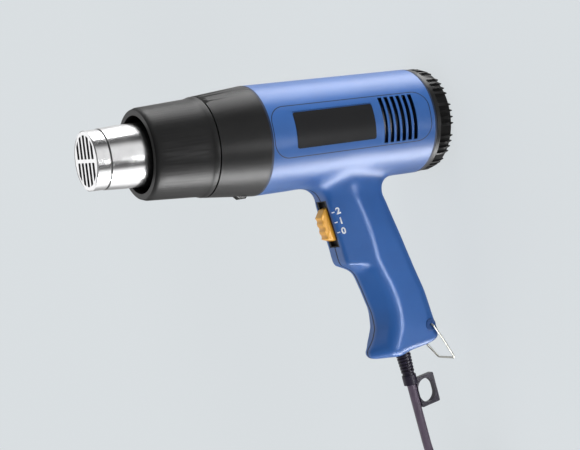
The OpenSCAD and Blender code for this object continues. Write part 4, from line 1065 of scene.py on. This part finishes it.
def copies_tree(name):
    """Node group: one pattern set on every point of a chain, each turned like its neighbours."""
    inputs = (("Places", "Geometry"), ("Pattern", "Object"), ("Turn", "Rotation"), ("Finish", "Material"))
    board, (places, pattern, turn, finish) = new_group(name, inputs, "Copies")
    shape = board.node("GeometryNodeObjectInfo", None, pattern, out="Geometry")
    copies = board.node(
        "GeometryNodeInstanceOnPoints", None, Points=places, Instance=shape, Rotation=turn
    )
    return end_group(board, copies, finish)


def shaped_by(piece, name, maker, **values):
    """Runs a node group on the piece, made at its first use, and sets its inputs by their identifiers."""
    rule = piece.modifiers.new(name, "NODES")
    rule.node_group = bpy.data.node_groups.get(name) or maker(name)
    for item in rule.node_group.interface.items_tree:
        if item.item_type == "SOCKET" and item.in_out == "INPUT" and item.name in values:
            rule[item.identifier] = values[item.name]
    return bake(piece)


def tube_along(name, points, radius, slot, sides=16):
    """Tube through points in millimetres."""
    chain = [tuple(c * MM for c in p) for p in points]
    piece = new_piece(name, chain, [], [(i, i + 1) for i in range(len(chain) - 1)])
    shaped_by(piece, "round_tube", tube_tree, Radius=radius * MM, Sides=sides, Finish=finish_for(slot))
    outward(piece)
    soften(piece, 40.0)
    return piece


def set_copies(name, pattern, points, slot, turn=(0.0, 0.0, 0.0)):
    """One mesh of a pattern's copies at points in millimetres."""
    piece = new_piece(name, [tuple(c * MM for c in p) for p in points], [])
    shaped_by(piece, "copies_at_places", copies_tree, Pattern=pattern, Turn=turn, Finish=finish_for(slot))
    drop(pattern)
    return piece


def smooth_line(points, steps):
    """Curve through points, with steps points between two of them."""
    p = np.array(points, float)
    out = []
    for i in range(len(p) - 1):
        a, b, c, d = p[max(i - 1, 0)], p[i], p[i + 1], p[min(i + 2, len(p) - 1)]
        bend = 2 * a - 5 * b + 4 * c - d
        twist = 3 * b - a - 3 * c + d
        for k in range(steps):
            t = k / steps
            out.append((2 * b + (c - a) * t + bend * t * t + twist * t**3) / 2)
    out.append(p[-1])
    return np.array(out)


def coil_point(turn):
    """Coil around its own middle, with 0 at the outside of the lowest layer."""
    whole = COIL_TURNS + COIL_BACK
    layer = min(int(turn // whole), COIL_LAYERS - 1)
    u = turn - layer * whole
    inner = COIL_R - COIL_PITCH * COIL_TURNS
    inwards = layer % 2 == 0
    sign = -1 if inwards else 1
    first, last = (COIL_R, inner) if inwards else (inner, COIL_R)
    v = u - COIL_TURNS
    r = first + sign * COIL_PITCH * u if v <= 0 else last + sign * COIL_PITCH * (v - v * v / COIL_BACK)
    w = max(0.0, v) / COIL_BACK
    angle = math.radians(90 + 360 * turn)
    return (r * math.cos(angle), r * math.sin(angle), CORD_R + COIL_PITCH * (layer + w * w * (3 - 2 * w)))


def cord_points():
    """The whole cord, from the strain relief's mouth to the plug, in millimetres."""
    high = MOUTH[1] - CORD_R
    middle = (MOUTH[0] - COIL_AWAY, COIL_SIDE - COIL_R)
    way = [(MOUTH[0], 0.0, MOUTH[1])]
    way += [(MOUTH[0] + x, y, CORD_R + high * share) for x, y, share in CORD_SHARES]
    way.append((middle[0] + 7.0, COIL_SIDE, CORD_R))
    free = smooth_line(way, 4)
    total = COIL_LAYERS * COIL_TURNS + (COIL_LAYERS - 1) * COIL_BACK
    coil = [(3.5, COIL_R, CORD_R)]
    coil += [coil_point(i / COIL_RINGS) for i in range(int(total * COIL_RINGS) + 1)]
    top = coil[-1][2]
    plug = top + CORD_R + PLUG_GAP + PLUG_HALF
    coil += [(COIL_R * x, COIL_R * y, top + (plug - top) * share) for x, y, share in TAIL_SHARES]
    coil = [(middle[0] + x, middle[1] + y, z) for x, y, z in coil]
    return np.vstack([free, coil])


def wire_points(count=14):
    """Hanging wire from one bush to the other, in millimetres."""
    out = BUSH_FACE + WIRE_GAP + WIRE
    corner = WIRE * 1.3
    straight = WIRE_LENGTH - WIRE - corner
    quarter = [math.pi / 2 * i / 8 for i in range(9)]
    half = [(0, BUSH_FACE - WIRE_SEAT, 0)]
    half += [(WIRE * (math.cos(a) - 1), out - WIRE + WIRE * math.sin(a), 0) for a in quarter]
    for i in range(1, count + 1):
        s = i / count
        bow = -WIRE_BOW * math.sin(math.pi * s)
        half.append((-WIRE - straight * s, out - (out - WIRE_END) * s, bow))
    for a in quarter[1:]:
        across = WIRE_END - corner + corner * math.cos(a)
        half.append((corner - WIRE_LENGTH - corner * math.sin(a), across, 0))
    path = half + [(x, -y, z) for x, y, z in reversed(half)]
    turn = Matrix.Rotation(math.radians(WIRE_REST), 4, "Y")
    place = Matrix.Translation((PIVOT[0], 0, PIVOT[1])) @ turn
    return [tuple(place @ Vector(p)) for p in path]


def heater_points():
    """Heating wire round the mica plates, in millimetres."""
    r = HEATER_R
    low, high = HEATER_ENDS
    points = [(r, 0, low), (r, 0, low + HEATER_LEAD)]
    total = HEATER_TURNS * HEATER_RINGS
    for i in range(1, total + 1):
        a = 2 * math.pi * i / HEATER_RINGS
        rise = HEATER_START + (high - low - 2 * HEATER_START) * i / total
        points.append((r * math.cos(a), r * math.sin(a), low + rise))
    return points + [(r, 0, high - HEATER_LEAD), (r, 0, high)]


def screw_pattern():
    """Pan-head screw with a cross recess. Local Z runs out of its head, with 0 under the head."""
    shank, head, thick, length = SCREW
    recess = head * 0.62
    arm = head * 0.13
    shape = outward(drum("screw", head, 0.0, thick, 40))
    dome = shape.modifiers.new("dome", "BEVEL")
    dome.width = thick * 0.4 * MM
    dome.segments = 4
    dome.limit_method = "ANGLE"
    bake(shape)
    for wide, tall in ((recess, arm), (arm, recess)):
        slit = block("slit", (-wide, -tall, thick * 0.35), (wide, tall, thick * 2))
        cut_away(shape, outward(slit))
    return joined("screw_pattern", [shape, outward(drum("shank", shank, -length, 0.0, 24))])


def build_screws():
    """The housing's screws, each at its place with its head in the right half."""
    points = [(x, SCREW_SEAT, z) for x, z in screw_places()]
    screws = set_copies(
        "housing_screws_set", screw_pattern(), points, "screw_steel", (math.radians(-90), 0.0, 0.0)
    )
    soften(screws, 35.0)
    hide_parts("housing_screws")
    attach(screws, "tool")


# Sizes and colours that a user may change


def length(label, text, value):
    """A length setting, in metres."""
    return FloatProperty(name=label, description=text, default=value, unit="LENGTH")


def power(label, text, value):
    """A lamp's power setting, in watts."""
    return FloatProperty(name=label, description=text, default=value, unit="POWER")


def colour(label, text, value):
    """A colour setting."""
    return FloatVectorProperty(
        name=label, description=text, subtype="COLOR", size=3, min=0, max=1, default=value
    )


class HousingSizes(bpy.types.PropertyGroup):
    """Housing and its moulded panel."""

    colour: colour("Colour", "Colour of the housing", (0.026, 0.120, 0.392))
    panel_length: length("Panel length", "Length of the outlined panel", 0.1193)
    panel_width: length("Panel width", "Width of the outlined panel round the barrel", 0.0336)
    panel_middle: length("Panel middle", "Height of the panel's middle above the rest face", 0.07905)
    panel_corner: length("Panel corner", "Radius of the panel's corners", 0.011)
    groove_width: length("Groove width", "Width of the panel's outline groove", 0.0006)
    skin_step: length("Skin step", "Size of the faces of the moulded form", 0.0011)
    blend_reach: length("Blend reach", "How far the handle's meeting with the barrel is rounded", 0.014)


class TrimSizes(bpy.types.PropertyGroup):
    """Black trim, slider and printed marks."""

    colour: colour("Trim colour", "Colour of the black plastic", (0.007, 0.007, 0.0072))
    slider_colour: colour("Slider colour", "Colour of the slider", (1.0, 0.47, 0.05))
    mark_height: length("Mark height", "Height of the printed numerals", 0.0044)


class CordSizes(bpy.types.PropertyGroup):
    """Power cord."""

    colour: colour("Cord colour", "Colour of the cord's sheath", (0.095, 0.070, 0.105))
    sides: IntProperty(name="Sides", description="Faces round the cord", default=16, min=8, max=32)


class StudioSizes(bpy.types.PropertyGroup):
    """Floor, background and lamps; a lamp's power has the name of the lamp."""

    background: colour("Background", "Colour of the floor and background", (0.686, 0.723, 0.745))
    top_lamp: power("Top lamp", "Lamp above", 0.5)
    front_fill: power("Front fill", "Wide soft lamp in front", 5.6)
    upper_fill: power("Upper fill", "Soft light on the barrel's top", 2.6)
    lower_fill: power("Lower fill", "Soft light on the handle's side", 1.6)
    upper_sheen: power("Upper sheen", "Reflected lamp along the barrel's top", 4.2)
    high_sheen: power("High sheen", "Reflected lamp along the cone's top", 1.3)
    lower_sheen: power("Lower sheen", "Reflected lamp along the barrel's underside", 10.2)
    ridge_sheen: power("Ridge sheen", "Reflected lamp along the handle's ridge", 0.10)
    sky: FloatProperty(name="Surround", description="Brightness of the studio's walls", default=0.55)


class HotAirToolSizes(bpy.types.PropertyGroup):
    """All of the tool's sizes and colours."""

    housing: PointerProperty(type=HousingSizes)
    trim: PointerProperty(type=TrimSizes)
    cord: PointerProperty(type=CordSizes)
    studio: PointerProperty(type=StudioSizes)


# Operators


class HOTAIR_OT_camera(bpy.types.Operator):
    """Sets the camera at the photographed angle"""

    bl_idname = "hotair.camera"
    bl_label = "Camera"

    def execute(self, context):
        data = bpy.data.cameras.new("photo_camera")
        data.sensor_fit = "HORIZONTAL"
        data.sensor_width = SENSOR
        data.lens = LENS
        data.clip_start = 0.01
        data.clip_end = 30.0
        camera = placed("photo_camera", data)
        right = Vector(CAMERA_RIGHT).normalized()
        back = Vector(CAMERA_BACK)
        back = (back - right * back.dot(right)).normalized()
        turn = Matrix((right, back.cross(right).normalized(), back)).transposed().to_4x4()
        camera.matrix_world = Matrix.Translation(CAMERA_PLACE) @ turn
        context.scene.camera = camera
        return {"FINISHED"}


class HOTAIR_OT_stage(bpy.types.Operator):
    """Builds the floor, the background and the lamps"""

    bl_idname = "hotair.stage"
    bl_label = "Studio"

    def execute(self, context):
        self.floor(look().studio)
        self.surround(look().studio, context.scene)
        for name, (spot, aim, size, spread, seen_by) in LAMPS.items():
            lamp = self.lamp(name, Vector(spot), Vector(aim), size, math.radians(spread))
            lamp.data.energy = getattr(look().studio, name)
            lamp.visible_glossy = seen_by != "matt"
            lamp.visible_diffuse = seen_by != "sheen"
        return {"FINISHED"}

    def seen(self, board):
        """1 for what the camera sees and 0 for light on its way."""
        path = board.tree.nodes.new("ShaderNodeLightPath")
        return Value(board, path.outputs["Is Camera Ray"])

    def floor(self, sizes):
        """Floor of the background's colour, which keeps the shadow near the tool."""
        far = FLOOR_HALF
        corners = [(-far, -far, 0), (far, -far, 0), (far, far, 0), (-far, far, 0)]
        floor = moved(new_piece("floor", corners, [(0, 1, 2, 3)]), Matrix.Translation((0, 0, -FLOOR_DROP)))
        background = tuple(sizes.background)
        board = Finish("floor_paint")
        matt = board.node("ShaderNodeBsdfDiffuse", None, Color=background)
        away = board.ease((board.x ** 2.0 + board.y ** 2.0) ** 0.5, *FLOOR_FADE)
        strength = FLOOR_GLOW - FLOOR_GLOW_LOSS * away
        glow = board.node("ShaderNodeEmission", None, Color=background, Strength=strength)
        share = self.seen(board) * (FLOOR_SHARE + (1.0 - FLOOR_SHARE) * away)
        shown = board.node("ShaderNodeMixShader", None, share, matt, glow)
        board.node("ShaderNodeOutputMaterial", None, shown)
        floor.data.materials.append(board.material)
        floor.visible_glossy = False
        floor.visible_shadow = False

    def surround(self, sizes, scene):
        """World: plain background to the camera, and light with dark windows to all else."""
        world = bpy.data.worlds.new("studio")
        world.use_nodes = True
        scene.world = world
        board = Board(world.node_tree)
        x, y, z = board.split(board.node("ShaderNodeTexCoord", out="Generated"))
        turn = board.math("ARCTAN2", x, -y) * (180 / math.pi)
        windows = 1.0 - UPPER_REAR_LOSS * (1.0 - board.ease(turn, *UPPER_REAR_FADE))
        for *bearings, share in WINDOWS:
            windows = windows * (1.0 - share * board.band(turn, *bearings))
        loss = REAR_LOSS + REAR_RISE_LOSS * board.ease(z, *REAR_RISE)
        rear = 1.0 - board.ease(abs(turn), *REAR_FADE) * loss
        belt = board.band(z, *BELT)
        nadir = 1.0 - board.ease(z, BELT[0], BELT[1])
        ceiling = board.ease(z, *CEILING) * (1.0 - board.ease(y, 0.0, 0.3))
        plain = sizes.sky * (1.0 - CEILING_LOSS * ceiling) * (1.0 - NADIR_LOSS * nadir)
        plain = plain * (1.0 - WALL_IN_BELT_LOSS * belt)
        behind = board.ease(y, 0.2, 0.5) * board.ease(z, 0.1, 0.3)
        wall = plain + belt * windows * rear * BELT_LIGHT + behind * BEHIND_LIGHT
        shown = board.node("ShaderNodeBackground", None, Color=tuple(sizes.background), Strength=1.0)
        lit = board.node("ShaderNodeBackground", None, Color=(1.0, 1.0, 1.0), Strength=wall)
        mixed = board.node("ShaderNodeMixShader", None, self.seen(board), lit, shown)
        board.node("ShaderNodeOutputWorld", None, mixed)

    def lamp(self, name, spot, aim, size, spread):
        """Rectangular lamp at one place, turned to another."""
        data = bpy.data.lights.new(name, "AREA")
        data.shape = "RECTANGLE"
        data.size, data.size_y = size
        data.spread = spread
        lamp = placed(name, data)
        lamp.visible_camera = False
        back = (spot - aim).normalized()
        right = Vector((0, 0, 1)).cross(back).normalized()
        turn = Matrix((right, back.cross(right), back)).transposed().to_4x4()
        lamp.matrix_world = Matrix.Translation(spot) @ turn
        return lamp


class HOTAIR_OT_cord(bpy.types.Operator):
    """Lays the power cord from the strain relief to its coil and plug"""

    bl_idname = "hotair.cord"
    bl_label = "Power cord"

    def execute(self, context):
        points = cord_points()
        flex = tube_along("power_cord_sheath", points, CORD_R, "cord_rubber", look().cord.sides)
        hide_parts("power_cord", "cord_coil")
        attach(flex, "tool")
        body = refined("plug_body", "plug_black", 0.0009)
        blades = dress("plug_blades", "blade_brass")
        dress("sheathed_lead", "cord_rubber")
        return {"FINISHED"}


class HOTAIR_OT_housing(bpy.types.Operator):
    """Builds the two halves of the housing with their rounded meeting, vents and slot"""

    bl_idname = "hotair.housing"
    bl_label = "Housing"

    def execute(self, context):
        build_housing()
        refined("label_plate", "label_black")
        refined("hook_bushes", "bush_blue")
        return {"FINISHED"}


class HOTAIR_OT_trim(bpy.types.Operator):
    """Finishes the rear cap, the cone and the heat guard"""

    bl_idname = "hotair.trim"
    bl_label = "Cap, cone and guard"

    def execute(self, context):
        for node in ("rear_cap", "front_cone", "heat_guard"):
            refined(node, "trim_black")
        return {"FINISHED"}


class HOTAIR_OT_nozzle(bpy.types.Operator):
    """Finishes the steel tube and its grille"""

    bl_idname = "hotair.nozzle"
    bl_label = "Nozzle"

    def execute(self, context):
        refined("nozzle_tube", "tube_steel")
        refined("outlet_grille", "tube_steel")
        return {"FINISHED"}


class HOTAIR_OT_switch(bpy.types.Operator):
    """Finishes the switch and prints its numerals and ticks"""

    bl_idname = "hotair.switch"
    bl_label = "Switch and marks"

    def execute(self, context):
        refined("switch_frame", "switch_black")
        refined("switch_slider", "slider_orange", 0.0005, "slider")
        dress("switch_body", "switch_black")
        half = bpy.data.objects.get("housing_left")
        if half is None:
            raise RuntimeError("the housing has to be built before its marks are printed")
        tree = BVHTree.FromObject(half, context.evaluated_depsgraph_get())
        for text, spot in MARKS:
            self.mark(tree, text, Vector(spot) * MM)
        return {"FINISHED"}

    def outline(self, text, height):
        """One flat numeral with a tick on its left, in small faces."""
        curve = bpy.data.curves.new("mark_" + text, "FONT")
        curve.body = text
        curve.size = height * 1.35
        curve.align_x = "CENTER"
        curve.align_y = "CENTER"
        curve.offset = height * 0.045
        flat = placed("mark_" + text, curve)
        bpy.context.view_layer.update()
        depsgraph = bpy.context.evaluated_depsgraph_get()
        mesh = bpy.data.meshes.new_from_object(flat.evaluated_get(depsgraph))
        bpy.data.objects.remove(flat, do_unlink=True)
        bpy.data.curves.remove(curve)
        shape = opened(mesh)
        bpy.data.meshes.remove(mesh)
        far, near, half = -height, -height * 0.55, height * 0.08
        tick = [(far, -half, 0), (near, -half, 0), (near, half, 0), (far, half, 0)]
        shape.faces.new([shape.verts.new(corner) for corner in tick])
        bmesh.ops.triangulate(shape, faces=shape.faces[:])
        long_edges = [e for e in shape.edges if e.calc_length() > height / 5]
        bmesh.ops.subdivide_edges(shape, edges=long_edges, cuts=2)
        bmesh.ops.triangulate(shape, faces=shape.faces[:])
        return shape

    def mark(self, tree, text, spot):
        """One numeral and its tick, laid on the handle's side."""
        shape = self.outline(text, look().trim.mark_height)
        lean = math.radians(SLOT_LEAN)
        out = Vector(PANEL_OUT).normalized()
        across = Vector((math.cos(lean), 0, math.sin(lean))).cross(out).normalized()
        up = out.cross(across)
        for vert in shape.verts:
            start = spot + across * vert.co.x + up * vert.co.y + out * 0.01
            hit = tree.ray_cast(start, -out)[0]
            if hit is None:
                raise RuntimeError("a printed mark misses the handle")
            vert.co = hit + out * INK_LIFT
        shape.normal_update()
        flip = [f for f in shape.faces if f.normal.dot(out) < 0]
        bmesh.ops.reverse_faces(shape, faces=flip)
        made = bpy.data.meshes.new("mark_" + text)
        written(shape, made)
        piece = placed("mark_" + text, made)
        thicken = piece.modifiers.new("ink", "SOLIDIFY")
        thicken.thickness = INK
        thicken.offset = -1.0
        bake(piece)
        paint(piece, "white_print")
        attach(piece, "tool")


class HOTAIR_OT_hook(bpy.types.Operator):
    """Bends the hanging wire and finishes the strain relief with its loop"""

    bl_idname = "hotair.hook"
    bl_label = "Wire and strain relief"

    def execute(self, context):
        wire = tube_along("hanging_wire_bent", wire_points(), WIRE / 2, "wire_steel", 14)
        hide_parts("hanging_wire")
        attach(wire, "bail")
        refined("strain_relief", "relief_rubber")
        return {"FINISHED"}


class HOTAIR_OT_inside(bpy.types.Operator):
    """Finishes the motor, fan, heater, leads and screws inside"""

    bl_idname = "hotair.inside"
    bl_label = "Inner pieces"

    def execute(self, context):
        coil = tube_along("heating_wire", heater_points(), HEATER_WIRE_R, "heater_wire", 10)
        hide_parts("heater_coil")
        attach(coil, "tool")
        for slot, nodes in INNER_PIECES.items():
            for node in nodes:
                dress(node, slot)
        build_screws()
        return {"FINISHED"}


class HOTAIR_PT_panel(bpy.types.Panel):
    """Lists the steps that build the tool, and its sizes and colours"""

    bl_label = "Hot Air Tool"
    bl_idname = "HOTAIR_PT_panel"
    bl_space_type = "VIEW_3D"
    bl_region_type = "UI"
    bl_category = "Hot Air Tool"

    def draw(self, context):
        for step in STEPS:
            self.layout.operator(step.bl_idname)
        for group in (look().housing, look().trim, look().cord, look().studio):
            box = self.layout.box()
            for setting in type(group).__annotations__:
                box.prop(group, setting)


STEPS = (
    HOTAIR_OT_camera, HOTAIR_OT_cord, HOTAIR_OT_stage, HOTAIR_OT_housing, HOTAIR_OT_trim,
    HOTAIR_OT_nozzle, HOTAIR_OT_switch, HOTAIR_OT_hook, HOTAIR_OT_inside,
)
SIZES = (HousingSizes, TrimSizes, CordSizes, StudioSizes, HotAirToolSizes)


def register():
    """Makes the settings, the steps and the panel known to Blender."""
    for group in SIZES + STEPS + (HOTAIR_PT_panel,):
        bpy.utils.register_class(group)
    bpy.types.Scene.hot_air_tool = PointerProperty(type=HotAirToolSizes)


def unregister():
    """Takes them out again."""
    del bpy.types.Scene.hot_air_tool
    for group in reversed(SIZES + STEPS + (HOTAIR_PT_panel,)):
        bpy.utils.unregister_class(group)


def main():
    """Builds the tool and its studio."""
    register()
    bpy.context.scene.view_settings.view_transform = "Standard"
    bpy.ops.hotair.camera()
    bpy.ops.hotair.cord()
    bpy.ops.hotair.stage()
    bpy.ops.hotair.housing()
    bpy.ops.hotair.trim()
    bpy.ops.hotair.nozzle()
    bpy.ops.hotair.switch()
    bpy.ops.hotair.hook()
    bpy.ops.hotair.inside()


if __name__ == "__main__":
    main()
